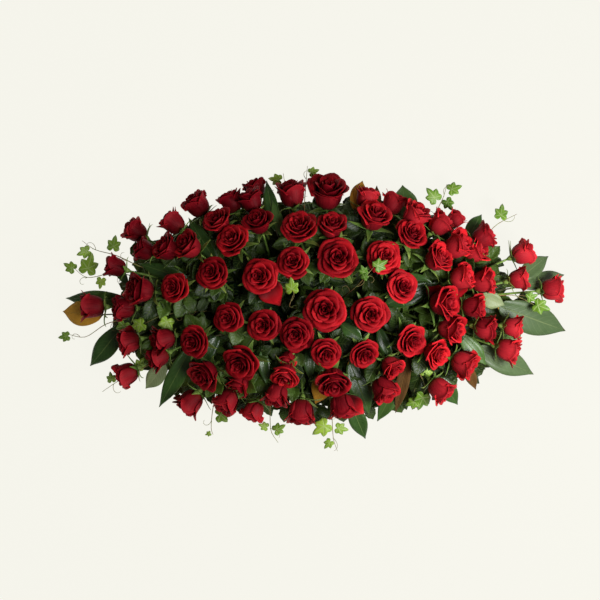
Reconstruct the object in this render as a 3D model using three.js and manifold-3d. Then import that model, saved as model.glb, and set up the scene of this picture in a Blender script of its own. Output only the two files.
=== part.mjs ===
// A casket spray: red roses on their stems, magnolia twigs and ivy trails, standing in two bricks of floral
// foam in a shallow tray. Millimetres, +Z up. The origin is the middle of the tray's flat underside,
// +X runs along the spray towards its fuller end and +Y across it.
import * as THREE from "three";
import { mergeVertices } from "three/addons/utils/BufferGeometryUtils.js";
import Module from "manifold-3d";

const wasm = await Module();
wasm.setup();

// Driving dimensions
const TRAY_LONG = 484;
const TRAY_WIDE = 140;
const TRAY_HIGH = 34;
const TRAY_WALL = 2.5;
const SEAT_GAP = 0.3; // clear space between pieces that touch
const FOAM_LONG = 232; // one brick
const FOAM_WIDE = 124;
const FOAM_HIGH = 92;
const FOAM_FLOOR = TRAY_WALL + SEAT_GAP;
const FOAM_TOP = FOAM_FLOOR + FOAM_HIGH;
const FOAM_JOINT = 1; // between the two bricks
const ROOT_DEEP = 24; // how far a stem is pushed into the foam
const ROOT_PROUD = 8; // how far the thick root stands out of it
const ROOT_RADIUS = 5;
const STEM_SUNK = 5; // how far a thin stem starts below the end of its root
const AIM_ALONG = 0.4; // stems point away from a line inside the foam: the share of a place's x and y at
const AIM_ACROSS = 0.12; // which the line is met, its half length and its height
const AIM_HALF_LONG = 200;
const AIM_HIGH = 30;
const CALYX_BELOW = 30; // a bunch's root points this far below the middle of its blooms
const DOME_HALF_LONG = 590; // the roses' middles lie on half an ellipsoid
const DOME_HALF_WIDE = 304;
const DOME_RIM = 62;
const DOME_CROWN = 246;
const LEAF_RIM = 16; // the leaves lie on a lower and wider one
const LEAF_CROWN = 176;
const LEAF_HALF_LONG = 612;
const LEAF_HALF_WIDE = 350;
const CUP_LEAN = 70; // roses that lean this far are cups; those that lean less have opened further
const FLAT_LEAN = 20;
const STEM_RADIUS = 2.6;
const TWIG_RADIUS = 2.2;
const ELBOW_OUT = 9; // the twig of a low leaf clears the foam's side by this much
const VINE_RADIUS = 1.5;
const BLADE_THICK = 1.5; // at the midrib; the edges are thin
const BLADE_SUNK = 6; // how far a magnolia blade reaches back into its twig
const BLADE_BOW = 0.06; // its rise between base and tip, for its length
const BLADE_WAVE = 1.5;
const ROSE_LEAF_LONG = 74;
const ROSE_LEAF_WIDE = 44;
const ROSE_LEAF_BOW = 0.08;
const ROSE_LEAF_WAVE = 2;
const LEAFY_LEAN = 65; // roses that lean further carry no leaf
const ROSE_LEAF_BACK = 20; // from the calyx back along the stem
const SPRIG_LONG = 112; // the blade that stands for the leaflets of a filling sprig
const SPRIG_WIDE = 76;
const SPRIG_RADIUS = 1.8;
const SPRIG_BOW = 0.1;
const SPRIG_BLADE = 0.8; // the largest share of a short sprig that is blade
const SPRIG_ROOTS = 6; // how many of the nearest bunches are tried as its root
const CLEAR = 0.8; // cut round what would cross another piece
const SMOOTHED = 0.3; // unevenness smaller than this is left out of a trimmed solid

const UP = new THREE.Vector3(0, 0, 1);
const vec = (x, y, z) => new THREE.Vector3(x, y, z);

// Roses, in the bunches that share one root in the foam. x and y are the middle of the bloom seen from above,
// across is its width, lean is the angle between the way it faces and straight up, and low lets it sit
// below its neighbours.
const ROSE_BUNCHES = {
  crown_middle: [
    { x: 22, y: -2, across: 99, lean: 2 },
    { x: 25, y: -102, across: 72, lean: 25 },
  ],
  crown_north: [
    { x: 53, y: 121, across: 92, lean: 10 },
    { x: 162, y: 123, across: 80, lean: 20 },
  ],
  crown_west: [
    { x: -131, y: 76, across: 83, lean: 10 },
    { x: -53, y: 111, across: 76, lean: 15 },
  ],
  crown_east: [
    { x: 129, y: -12, across: 83, lean: 10 },
    { x: 203, y: 52, across: 75, lean: 25 },
  ],
  crown_south: [
    { x: -46, y: -59, across: 77, lean: 10 },
    { x: -65, y: -116, across: 42, lean: 60, low: 24 },
    { x: -70, y: -156, across: 66, lean: 50 },
  ],
  crown_south_west: [
    { x: -122, y: -38, across: 77, lean: 10 },
    { x: -205, y: -21, across: 71, lean: 20 },
  ],
  west_upper: [
    { x: -245, y: 85, across: 74, lean: 20 },
    { x: -333, y: 50, across: 70, lean: 30 },
  ],
  north_middle: [
    { x: -39, y: 190, across: 84, lean: 40 },
    { x: 39, y: 194, across: 68, lean: 50 },
  ],
  south_east_middle: [
    { x: 113, y: -104, across: 70, lean: 35 },
    { x: 222, y: -74, across: 76, lean: 40 },
  ],
  south_middle: [
    { x: 42, y: -171, across: 80, lean: 50 },
    { x: 63, y: -230, across: 70, lean: 80 },
  ],
  north_west_middle: [
    { x: -195, y: 163, across: 76, lean: 35 },
    { x: -136, y: 204, across: 66, lean: 50 },
  ],
  north_rim_west: [
    { x: -143, y: 287, across: 56, lean: 95, low: 22 },
    { x: -153, y: 256, across: 62, lean: 80 },
    { x: -56, y: 273, across: 72, lean: 80 },
  ],
  north_rim_middle: [
    { x: 30, y: 275, across: 94, lean: 55 },
    { x: 122, y: 263, across: 60, lean: 85 },
  ],
  north_east_middle: [
    { x: 139, y: 218, across: 82, lean: 50 },
    { x: 184, y: 251, across: 62, lean: 90, low: 20 },
  ],
  north_east: [
    { x: 236, y: 220, across: 68, lean: 70 },
    { x: 226, y: 175, across: 74, lean: 40 },
  ],
  east_upper: [
    { x: 295, y: 202, across: 64, lean: 85 },
    { x: 333, y: 213, across: 50, lean: 90, low: 24 },
    { x: 335, y: 149, across: 72, lean: 70 },
    { x: 288, y: 119, across: 72, lean: 55 },
  ],
  east_rim_upper: [
    { x: 399, y: 171, across: 62, lean: 92 },
    { x: 380, y: 135, across: 60, lean: 75, low: 22 },
  ],
  east_middle: [
    { x: 345, y: 74, across: 64, lean: 70 },
    { x: 397, y: 66, across: 66, lean: 75, low: 10 },
    { x: 373, y: 5, across: 62, lean: 75 },
  ],
  east_tip: [
    { x: 494, y: 133, across: 64, lean: 92 },
    { x: 482, y: 71, across: 56, lean: 90 },
    { x: 565, y: 47, across: 64, lean: 96 },
  ],
  east_lower: [
    { x: 302, y: 14, across: 78, lean: 60 },
    { x: 319, y: -45, across: 70, lean: 65, low: 8 },
  ],
  east_rim_lower: [
    { x: 402, y: -45, across: 62, lean: 85 },
    { x: 468, y: -43, across: 54, lean: 90 },
    { x: 456, y: -97, across: 66, lean: 85 },
  ],
  south_east: [
    { x: 283, y: -104, across: 67, lean: 50 },
    { x: 350, y: -128, across: 69, lean: 75 },
    { x: 295, y: -190, across: 66, lean: 80 },
  ],
  south_east_rim: [
    { x: 179, y: -135, across: 58, lean: 60 },
    { x: 160, y: -187, across: 68, lean: 70 },
  ],
  south_rim_middle: [
    { x: -146, y: -242, across: 58, lean: 90 },
    { x: -91, y: -202, across: 64, lean: 75 },
    { x: -34, y: -244, across: 72, lean: 80 },
  ],
  south_west_middle: [
    { x: -174, y: -126, across: 82, lean: 35 },
    { x: -179, y: -180, across: 58, lean: 65, low: 26 },
    { x: -210, y: -218, across: 64, lean: 75 },
  ],
  south_west: [
    { x: -262, y: -152, across: 74, lean: 50 },
    { x: -297, y: -220, across: 68, lean: 90 },
  ],
  west_lower: [
    { x: -286, y: -76, across: 76, lean: 30 },
    { x: -359, y: -71, across: 64, lean: 75 },
    { x: -373, y: -114, across: 60, lean: 80, low: 18 },
  ],
  west_rim_lower: [
    { x: -442, y: -78, across: 62, lean: 85 },
    { x: -449, y: -154, across: 64, lean: 90 },
  ],
  west_tip: [
    { x: -530, y: 5, across: 70, lean: 90 },
    { x: -454, y: 2, across: 62, lean: 80, low: 20 },
    { x: -414, y: 45, across: 74, lean: 65 },
  ],
  west_rim_upper: [
    { x: -475, y: 100, across: 58, lean: 85 },
    { x: -406, y: 140, across: 54, lean: 80, low: 14 },
    { x: -428, y: 185, across: 62, lean: 80 },
  ],
  north_west: [
    { x: -338, y: 204, across: 64, lean: 92 },
    { x: -352, y: 142, across: 64, lean: 65 },
    { x: -300, y: 149, across: 72, lean: 55 },
  ],
  north_west_rim: [
    { x: -281, y: 247, across: 66, lean: 75 },
    { x: -231, y: 206, across: 68, lean: 50 },
    { x: -200, y: 254, across: 62, lean: 90, low: 12 },
  ],
};

// Magnolia twigs. Each leaf runs from its base to its tip, seen from above; high lifts it above the layer
// of leaves, so that it shows between the blooms, and skirt gives the heights of a leaf that hangs low
// over the tray instead.
const MAGNOLIA_TWIGS = {
  magnolia_west: [
    { base: [-452, 40], tip: [-598, 43], wide: 42 },
    { base: [-511, -14], tip: [-605, -7], wide: 60, high: 14 },
    { base: [-463, -38], tip: [-539, -137], wide: 52 },
  ],
  magnolia_south_west: [
    { base: [-297, -85], tip: [-373, -235], wide: 44 },
    { base: [-361, -133], tip: [-404, -190], wide: 43, high: 10 },
    { base: [-190, -88], tip: [-238, -196], wide: 52, skirt: [48, 12] },
  ],
  magnolia_north_west: [
    { base: [-452, 57], tip: [-487, 121], wide: 24, high: 34 },
    { base: [-297, 97], tip: [-414, 133], wide: 36 },
    { base: [-214, 121], tip: [-286, 228], wide: 30, high: 20 },
    { base: [-185, 88], tip: [-225, 190], wide: 52, skirt: [48, 12] },
  ],
  magnolia_north: [
    { base: [-94, 187], tip: [-117, 306], wide: 34, high: 20 },
    { base: [-75, 168], tip: [-103, 258], wide: 26, high: 30 },
    { base: [-95, 88], tip: [-125, 200], wide: 54, skirt: [44, 10] },
  ],
  magnolia_north_middle: [
    { base: [86, 240], tip: [103, 308], wide: 32 },
    { base: [150, 240], tip: [146, 294], wide: 20 },
    { base: [44, 88], tip: [30, 205], wide: 54, skirt: [44, 10] },
  ],
  magnolia_north_east: [
    { base: [222, 215], tip: [208, 296], wide: 58 },
    { base: [364, 164], tip: [397, 226], wide: 38 },
    { base: [120, 88], tip: [128, 204], wide: 54, skirt: [44, 10] },
    { base: [205, 86], tip: [262, 178], wide: 52, skirt: [48, 12] },
  ],
  magnolia_east: [
    { base: [470, 90], tip: [542, 147], wide: 44 },
    { base: [500, 45], tip: [601, 74], wide: 42 },
    { base: [437, 10], tip: [601, -52], wide: 76 },
  ],
  magnolia_east_lower: [
    { base: [385, -95], tip: [523, -156], wide: 62 },
    { base: [395, 33], tip: [449, 10], wide: 40, high: 30 },
    { base: [347, -62], tip: [406, -133], wide: 40, high: 16 },
    { base: [360, -130], tip: [383, -192], wide: 28 },
  ],
  magnolia_south_east: [
    { base: [295, -165], tip: [340, -228], wide: 42 },
    { base: [276, -165], tip: [231, -240], wide: 38 },
    { base: [226, -109], tip: [191, -247], wide: 32, high: 12 },
    { base: [200, -180], tip: [148, -268], wide: 38 },
    { base: [205, -86], tip: [258, -182], wide: 52, skirt: [48, 12] },
  ],
  magnolia_south: [
    { base: [82, -225], tip: [120, -310], wide: 42 },
    { base: [82, -126], tip: [129, -251], wide: 54 },
    { base: [22, -146], tip: [-8, -223], wide: 50 },
    { base: [112, -88], tip: [150, -196], wide: 52, skirt: [44, 10] },
    { base: [14, -88], tip: [6, -204], wide: 54, skirt: [44, 10] },
  ],
  magnolia_inner_west: [
    { base: [-226, -69], tip: [-262, -138], wide: 36, high: 24 },
    { base: [-127, -97], tip: [-115, -180], wide: 30, high: 24 },
    { base: [-80, -88], tip: [-110, -200], wide: 54, skirt: [44, 10] },
  ],
  magnolia_inner_middle: [
    { base: [-18, -96], tip: [-13, -168], wide: 30, high: 6 },
    { base: [62, -36], tip: [113, -74], wide: 36, high: 14 },
  ],
  magnolia_inner_east: [
    { base: [141, -50], tip: [172, -128], wide: 30, high: 24 },
    { base: [177, -14], tip: [302, 40], wide: 50, high: 10 },
    { base: [226, 100], tip: [300, 60], wide: 34, high: 10 },
  ],
};

// Ivy trails: the vine's points seen from above, and its leaves, each with how far along the vine it grows
// (0 to 1), its size and the way it points in degrees.
const IVY_TRAILS = {
  ivy_west: {
    vine: [[-440, -30], [-499, -43], [-549, -81], [-605, -66]],
    leaves: [[0.84, 30, 190]],
  },
  ivy_west_lower: {
    vine: [[-410, -120], [-480, -156], [-520, -183]],
    leaves: [[0.7, 28, 100]],
  },
  ivy_north_west: {
    vine: [[-400, 120], [-463, 152], [-518, 164], [-549, 187]],
    leaves: [[0.75, 36, 200], [0.45, 40, 80]],
  },
  ivy_west_upper: {
    vine: [[-430, 70], [-487, 78], [-549, 62], [-584, 92]],
    leaves: [[0.7, 44, 100], [0.85, 30, 190], [0.45, 28, 260]],
  },
  ivy_south_west: {
    vine: [[-225, -170], [-245, -235], [-250, -287], [-245, -301]],
    leaves: [[0.7, 40, 5]],
  },
  ivy_south: {
    vine: [[-108, -170], [-108, -228], [-108, -292], [-89, -320]],
    leaves: [[0.82, 36, 30], [0.78, 24, 180]],
  },
  ivy_south_middle: {
    vine: [[30, -190], [39, -239], [42, -311], [53, -341]],
    leaves: [[0.5, 46, 215], [0.66, 38, 250], [0.55, 30, 350]],
  },
  ivy_north: {
    vine: [[-60, 220], [-70, 280], [-77, 325]],
    leaves: [[0.8, 34, 170]],
  },
  ivy_north_middle: {
    vine: [[-10, 230], [-4, 305], [-1, 341]],
    leaves: [[0.78, 28, 20]],
  },
  ivy_north_east: {
    vine: [[262, 180], [290, 235], [308, 270], [316, 299]],
    leaves: [[0.5, 44, 130], [0.78, 38, 20], [0.65, 34, 300]],
  },
  ivy_east_upper: {
    vine: [[370, 120], [425, 199], [485, 228]],
    leaves: [[0.65, 40, 80]],
  },
  ivy_crown: {
    vine: [[106, 62], [124, 84], [138, 100]],
    leaves: [[0.8, 36, 30], [0.4, 26, 150]],
    high: 88,
  },
};

// Filling sprigs, which hide the foam and the stems. Their tips stand in rings; each ring is a share of the
// leaves' outline, the space between its sprigs, and the height of a tip as a share of the leaves' height.
const SPRIG_RINGS = [
  { out: 0.79, apart: 72, high: 0.4 },
  { out: 0.56, apart: 92, high: 0.84 },
  { out: 0.66, apart: 116, high: 0.62 },
  { out: 0.34, apart: 100, high: 0.88 },
];

// The height of a dome above the floor at a place seen from above
function domeHeight(x, y, halfLong, halfWide, rim, crown) {
  const out = (x / halfLong) ** 2 + (y / halfWide) ** 2;
  return rim + (crown - rim) * Math.sqrt(Math.max(0, 1 - out));
}

function leafHeight(x, y) {
  return domeHeight(x, y, LEAF_HALF_LONG, LEAF_HALF_WIDE, LEAF_RIM, LEAF_CROWN);
}

// A solid from vertices and triangles of vertex numbers
function solidOf(points, faces) {
  const vertProperties = new Float32Array(points.flatMap((p) => [p.x, p.y, p.z]));
  const triVerts = new Uint32Array(faces);
  return new wasm.Manifold(new wasm.Mesh({ numProp: 3, vertProperties, triVerts }));
}

// A solid from one of three.js's closed geometries
function solidFromGeometry(geometry) {
  const bare = geometry.clone();
  bare.deleteAttribute("normal");
  bare.deleteAttribute("uv");
  const merged = mergeVertices(bare, 1e-3);
  const vertProperties = new Float32Array(merged.attributes.position.array);
  const triVerts = new Uint32Array(merged.index.array);
  return new wasm.Manifold(new wasm.Mesh({ numProp: 3, vertProperties, triVerts }));
}

// Joins two rings of points, of any counts, by a band of triangles
function stitch(faces, low, high) {
  if (low.length === 1) {
    high.forEach((point, k) => faces.push(low[0], high[(k + 1) % high.length], point));
    return;
  }
  if (high.length === 1) {
    low.forEach((point, k) => faces.push(high[0], point, low[(k + 1) % low.length]));
    return;
  }
  let i = 0;
  let j = 0;
  while (i < low.length || j < high.length) {
    const here = low[i % low.length];
    const above = high[j % high.length];
    const stepLow = j === high.length || (i < low.length && (i + 1) / low.length <= (j + 1) / high.length);
    if (stepLow) {
      i += 1;
      faces.push(here, low[i % low.length], above);
    } else {
      j += 1;
      faces.push(here, high[j % high.length], above);
    }
  }
}

// A closed skin over a row of rings; the first and the last ring are single points
function skinOver(rings) {
  const points = [];
  const faces = [];
  const numbered = rings.map((ring) => ring.map((point) => points.push(point) - 1));
  for (let k = 0; k + 1 < numbered.length; k += 1) stitch(faces, numbered[k], numbered[k + 1]);
  return solidOf(points, faces);
}

// A ring of points round a centre, square to an axis
function ringRound(centre, axis, radius, count) {
  const turn = new THREE.Quaternion().setFromUnitVectors(UP, axis);
  return Array.from({ length: count }, (_, k) => {
    const angle = (2 * Math.PI * k) / count;
    return vec(radius * Math.cos(angle), radius * Math.sin(angle), 0).applyQuaternion(turn).add(centre);
  });
}

// A thin rod through a row of points, three-sided
function rodAlong(path, radius) {
  const rings = path.map((point, k) => {
    const before = path[Math.max(0, k - 1)];
    const after = path[Math.min(path.length - 1, k + 1)];
    return ringRound(point, after.clone().sub(before).normalize(), radius, 3);
  });
  return skinOver([[path[0]], ...rings, [path[path.length - 1]]]);
}

// Where a stem that leads to a place in the spray leaves the foam, and its direction there
function rootTowards(place) {
  const halfLong = FOAM_LONG + FOAM_JOINT / 2;
  const aimX = THREE.MathUtils.clamp(AIM_ALONG * place.x, -AIM_HALF_LONG, AIM_HALF_LONG);
  const aim = vec(aimX, AIM_ACROSS * place.y, AIM_HIGH);
  const direction = place.clone().sub(aim).normalize();
  const outTo = (half, from, step) => (step === 0 ? Infinity : (Math.sign(step) * half - from) / step);
  const toEnd = outTo(halfLong, aim.x, direction.x);
  const toSide = outTo(FOAM_WIDE / 2, aim.y, direction.y);
  const toTop = direction.z <= 0 ? Infinity : (FOAM_TOP - aim.z) / direction.z;
  const mouth = aim.clone().addScaledVector(direction, Math.min(toEnd, toSide, toTop));
  return { mouth, direction };
}

// The thick three-sided end of a stem, part in and part out of the foam
function rootSolid(root, radius, extra) {
  const long = ROOT_DEEP + ROOT_PROUD + extra;
  const turn = new THREE.Quaternion().setFromUnitVectors(vec(0, 1, 0), root.direction);
  const middle = root.mouth.clone().addScaledVector(root.direction, (ROOT_PROUD - ROOT_DEEP) / 2);
  const peg = new THREE.CylinderGeometry(radius, radius, long, 3);
  return solidFromGeometry(peg.applyQuaternion(turn).translate(middle.x, middle.y, middle.z));
}

// Where a rose is, the way it faces, and how far it has opened
function poseOf(rose) {
  const height = domeHeight(rose.x, rose.y, DOME_HALF_LONG, DOME_HALF_WIDE, DOME_RIM, DOME_CROWN);
  const middle = vec(rose.x, rose.y, height - (rose.low ?? 0));
  const outward = Math.atan2((1 - AIM_ACROSS) * rose.y, (1 - AIM_ALONG) * rose.x);
  const lean = THREE.MathUtils.degToRad(rose.lean);
  const facing = vec(Math.sin(lean) * Math.cos(outward), Math.sin(lean) * Math.sin(outward), Math.cos(lean));
  const open = THREE.MathUtils.clamp((CUP_LEAN - rose.lean) / (CUP_LEAN - FLAT_LEAN), 0, 1);
  return { middle, facing, open };
}

// One layer's rim or groove: every second point is a petal's tip
function petalRing(pose, across, count, radius, height, notch, dip, turn) {
  const spin = new THREE.Quaternion().setFromUnitVectors(UP, pose.facing);
  return Array.from({ length: count }, (_, k) => {
    const angle = (2 * Math.PI * (k + turn)) / count;
    const between = k % 2;
    const out = across * (radius - notch * between);
    const up = across * (height - dip * between);
    return vec(out * Math.cos(angle), out * Math.sin(angle), up).applyQuaternion(spin).add(pose.middle);
  });
}

// A rose on its stem in one skin: stem, calyx, and three layers of petals with a groove inside each.
// The larger form that clears a space for it has its grooves filled.
function roseSolid(rose, root, swell) {
  const pose = poseOf(rose);
  const across = rose.across + 2 * swell;
  const mix = (cup, flat) => cup + (flat - cup) * pose.open;
  const neckDrop = rose.across * mix(0.47, 0.38) + 4;
  const neck = pose.middle.clone().addScaledVector(pose.facing, -neckDrop - swell);
  const start = root.mouth.clone().addScaledVector(root.direction, ROOT_PROUD - STEM_SUNK);
  const along = neck.clone().sub(start).normalize();
  const ring = (...shape) => petalRing(pose, across, ...shape);
  const calyx = [
    [start],
    ringRound(start, along, STEM_RADIUS + swell, 3),
    ringRound(neck, along.add(pose.facing).normalize(), STEM_RADIUS + 0.6 + swell, 3),
    ring(5, mix(0.42, 0.38), mix(-0.2, -0.16), 0, 0, 0),
  ];
  const top = (height) => [pose.middle.clone().addScaledVector(pose.facing, across * height)];
  if (swell > 0) {
    return skinOver([
      ...calyx,
      ring(10, 0.5, mix(0.2, 0), 0, 0, 0),
      ring(10, 0.5, mix(0.3, 0.12), 0, 0, 0),
      ring(10, mix(0.33, 0.34), mix(0.4, 0.27), 0, 0, 0),
      top(mix(0.48, 0.36)),
    ]);
  }
  return skinOver([
    ...calyx,
    ring(10, 0.5, mix(0.24, 0.04), 0.06, -0.05, 0),
    ring(5, mix(0.38, 0.39), mix(0.2, 0.08), 0, 0, 0.5),
    ring(5, mix(0.35, 0.36), mix(0.38, 0.24), 0, 0, 0.5),
    ring(5, mix(0.2, 0.22), mix(0.32, 0.18), 0, 0, 0),
    ring(5, mix(0.16, 0.17), mix(0.44, 0.32), 0, 0, 0),
    top(mix(0.34, 0.24)),
  ]);
}

// The rows across a leaf blade: how far along it each lies, as a share, and half its width there
function leafRows(wide, count) {
  return Array.from({ length: count }, (_, k) => {
    const u = (k + 1) / (count + 1);
    return { u, half: (wide / 2) * Math.sin(Math.PI * u ** 0.9) ** 0.75 };
  });
}

// A leaf blade between two points. Each row across it has a thick midrib and two thin waved edges.
// Both faces are split into triangles along the same lines.
function bladeSolid(base, tip, rows, bow, wave, swell) {
  const along = tip.clone().sub(base);
  const long = along.length();
  along.normalize();
  const side = new THREE.Vector3().crossVectors(UP, along).normalize();
  const face = new THREE.Vector3().crossVectors(along, side);
  const place = (u, across, up) =>
    base.clone().addScaledVector(along, u * long).addScaledVector(side, across).addScaledVector(face, up);
  const points = [base.clone(), tip.clone()];
  const stations = [];
  rows.forEach(({ u, half: bare }, k) => {
    const half = bare + swell;
    const arch = bow * long * Math.sin(Math.PI * u);
    const lift = 0.16 * half;
    const ripple = bare > SPRIG_RADIUS ? wave * (k % 2 ? -1 : 1) : 0;
    const thick = BLADE_THICK / 2 + swell;
    const left = points.push(place(u, half, arch + lift + ripple)) - 1;
    const right = points.push(place(u, -half, arch + lift - ripple)) - 1;
    const above = points.push(place(u, 0, arch + thick)) - 1;
    const below = points.push(place(u, 0, arch - thick)) - 1;
    stations.push({ left, right, above, below });
  });
  const faces = [];
  const first = stations[0];
  const last = stations[stations.length - 1];
  faces.push(0, first.above, first.left, 0, first.right, first.above);
  faces.push(0, first.left, first.below, 0, first.below, first.right);
  for (let k = 0; k + 1 < stations.length; k += 1) {
    const here = stations[k];
    const next = stations[k + 1];
    faces.push(here.above, next.above, here.left, next.above, next.left, here.left);
    faces.push(here.above, here.right, next.above, here.right, next.right, next.above);
    faces.push(here.below, here.left, next.below, next.below, here.left, next.left);
    faces.push(here.below, next.below, here.right, here.right, next.below, next.right);
  }
  faces.push(last.above, 1, last.left, last.above, last.right, 1);
  faces.push(last.below, last.left, 1, last.below, 1, last.right);
  return solidOf(points, faces);
}

// The point a share of the way along a row of points
function pointAlong(path, share) {
  const runs = path.slice(1).map((point, k) => point.distanceTo(path[k]));
  let left = share * runs.reduce((sum, run) => sum + run, 0);
  let k = 0;
  while (k + 1 < runs.length && left > runs[k]) {
    left -= runs[k];
    k += 1;
  }
  return path[k].clone().lerp(path[k + 1], left / runs[k]);
}

// A leaf of a rose, on its stem some way behind the bloom, turned round the stem by an angle
function roseLeafSolid(rose, root, angle, swell) {
  const pose = poseOf(rose);
  const neck = pose.middle.clone().addScaledVector(pose.facing, -0.42 * rose.across);
  const stem = neck.clone().sub(root.mouth);
  const foot = neck.clone().addScaledVector(stem.normalize(), -ROSE_LEAF_BACK);
  const flat = new THREE.Vector3().crossVectors(UP, stem).normalize();
  const outward = flat.applyAxisAngle(stem, angle).addScaledVector(stem, 0.35).normalize();
  const tip = foot.clone().addScaledVector(outward, ROSE_LEAF_LONG);
  const base = foot.clone().addScaledVector(outward, -1);
  return bladeSolid(base, tip, leafRows(ROSE_LEAF_WIDE, 2), ROSE_LEAF_BOW, ROSE_LEAF_WAVE, swell);
}

// The tips of a ring of filling sprigs, evenly spaced
function sprigTips({ out, apart, high }) {
  const halfLong = out * LEAF_HALF_LONG;
  const halfWide = out * LEAF_HALF_WIDE;
  const tips = [];
  let angle = 0;
  while (angle < 2 * Math.PI) {
    const x = halfLong * Math.cos(angle);
    const y = halfWide * Math.sin(angle);
    tips.push(vec(x, y, high * leafHeight(x, y)));
    angle += apart / Math.hypot(halfLong * Math.sin(angle), halfWide * Math.cos(angle));
  }
  return tips;
}

// The line of a filling sprig: where it starts in its root, and the share of its length that is bare stalk
function sprigLine(root, tip) {
  const start = root.mouth.clone().addScaledVector(root.direction, ROOT_PROUD - STEM_SUNK);
  const bare = 1 - Math.min(SPRIG_LONG / start.distanceTo(tip), SPRIG_BLADE);
  return { start, bare };
}

// A filling sprig in one skin: a thin stalk, and one broad blade for its leaflets
function sprigSolid(root, tip, swell) {
  const { start, bare } = sprigLine(root, tip);
  const stalk = [STEM_SUNK / start.distanceTo(tip), bare].map((u) => ({ u, half: SPRIG_RADIUS }));
  const leafy = leafRows(SPRIG_WIDE, 2).map(({ u, half }) => ({ u: bare + (1 - bare) * u, half }));
  return bladeSolid(start, tip, [...stalk, ...leafy], SPRIG_BOW, BLADE_WAVE, swell);
}

// The part of a filling sprig beyond its bare stalk
function leafyPart(sprig, root, tip) {
  const { start, bare } = sprigLine(root, tip);
  const along = tip.clone().sub(start).normalize();
  return sprig.trimByPlane(along.toArray(), along.dot(start.clone().lerp(tip, bare)));
}

// An ivy leaf: five pointed lobes round a middle, thick there and thin at its edge
function ivyLeafSolid(foot, size, bearing, swell) {
  const turn = THREE.MathUtils.degToRad(bearing);
  const lobes = [0.5, 0.42, 0.52, 0.36, 0.6, 0.36, 0.52, 0.42, 0.5, 0.3];
  const reach = 0.45 * size;
  const middle = vec(foot.x + reach * Math.cos(turn), foot.y + reach * Math.sin(turn), foot.z + 4);
  const points = [middle.clone().add(vec(0, 0, 1 + swell)), middle.clone().add(vec(0, 0, -1 - swell))];
  const faces = [];
  lobes.forEach((length, k) => {
    const angle = turn + Math.PI + (2 * Math.PI * (k + 1)) / lobes.length;
    const out = k === lobes.length - 1 ? reach + 3 : length * size + swell;
    const drop = k === lobes.length - 1 ? 4 : 0.05 * size * (k % 2 ? 1 : -1) + 2;
    points.push(vec(middle.x + out * Math.cos(angle), middle.y + out * Math.sin(angle), middle.z - drop));
  });
  for (let k = 0; k < lobes.length; k += 1) {
    const here = 2 + k;
    const next = 2 + ((k + 1) % lobes.length);
    faces.push(0, here, next, 1, next, here);
  }
  return solidOf(points, faces);
}

// Do the boxes round two solids meet?
function boxesMeet(a, b) {
  const one = a.boundingBox();
  const two = b.boundingBox();
  return [0, 1, 2].every((k) => one.min[k] < two.max[k] && two.min[k] < one.max[k]);
}

// The volume that a solid shares with the cutters round the pieces placed so far
function crossing(solid, cutters) {
  return cutters
    .filter((cutter) => boxesMeet(solid, cutter))
    .reduce((sum, cutter) => sum + solid.intersect(cutter).volume(), 0);
}

// Joins a node's pieces, trims them clear of the pieces placed before, and drops loose scraps
function joinClear(pieces, cutters) {
  let whole = pieces.reduce((sum, piece) => sum.add(piece));
  for (const cutter of cutters) {
    if (boxesMeet(whole, cutter)) whole = whole.subtract(cutter);
  }
  const bodies = whole.decompose();
  const largest = bodies.reduce((best, body) => (body.volume() > best.volume() ? body : best));
  return largest.asOriginal().simplify(SMOOTHED);
}

// The small shifts tried, in turn, to bend a leaf or twig clear: sideways and up
const SHIFTS = [
  [0, 0], [9, 0], [-9, 0], [0, 9], [0, -9], [18, 0], [-18, 0], [12, 10], [-12, 10], [12, -12], [-12, -12],
  [26, 0], [-26, 0], [0, -20], [20, -20], [-20, -20],
];

// The first shifted piece that crosses nothing, or else the one that crosses least
function bentClear(make, across, cutters) {
  let best = null;
  for (const [sideways, up] of SHIFTS) {
    const shift = across.clone().multiplyScalar(sideways).addScaledVector(UP, up);
    const piece = make(shift, 0);
    const shared = crossing(piece, cutters);
    if (best === null || shared < best.shared) best = { piece, shift, shared };
    if (best.shared === 0) break;
  }
  return best;
}

const spray = new THREE.Group();

const FINISHES = {
  tray: new THREE.MeshStandardMaterial({ color: 0x1f3a24, roughness: 0.45, metalness: 0 }),
  foam: new THREE.MeshStandardMaterial({ color: 0x2f5a35, roughness: 0.95, metalness: 0 }),
  rose: new THREE.MeshStandardMaterial({ color: 0xa80f1c, roughness: 0.6, metalness: 0 }),
  magnolia: new THREE.MeshStandardMaterial({ color: 0x2c5230, roughness: 0.35, metalness: 0 }),
  ivy: new THREE.MeshStandardMaterial({ color: 0x86a648, roughness: 0.5, metalness: 0 }),
};

// Adds a finished solid to the spray as a named mesh
function addNode(name, solid, finish) {
  const { vertProperties, triVerts } = solid.getMesh();
  const geometry = new THREE.BufferGeometry();
  geometry.setAttribute("position", new THREE.BufferAttribute(vertProperties, 3));
  geometry.setIndex(new THREE.BufferAttribute(triVerts, 1));
  const mesh = new THREE.Mesh(geometry, FINISHES[finish]);
  mesh.name = name;
  spray.add(mesh);
}

const cutters = []; // a little larger than every stem, bloom and leaf placed so far

// Rose bunches: one thick root and a stem to each bloom
const bunches = Object.entries(ROSE_BUNCHES).map(([name, roses]) => {
  const centre = roses.reduce((sum, rose) => sum.add(poseOf(rose).middle), vec(0, 0, 0));
  const root = rootTowards(centre.divideScalar(roses.length).add(vec(0, 0, -CALYX_BELOW)));
  const pieces = [rootSolid(root, ROOT_RADIUS, 0), ...roses.map((rose) => roseSolid(rose, root, 0))];
  const solid = joinClear(pieces, cutters);
  const own = [rootSolid(root, ROOT_RADIUS + CLEAR, CLEAR)];
  roses.forEach((rose) => own.push(roseSolid(rose, root, CLEAR)));
  cutters.push(...own);
  return { name, roses, root, solid, own };
});

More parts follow.
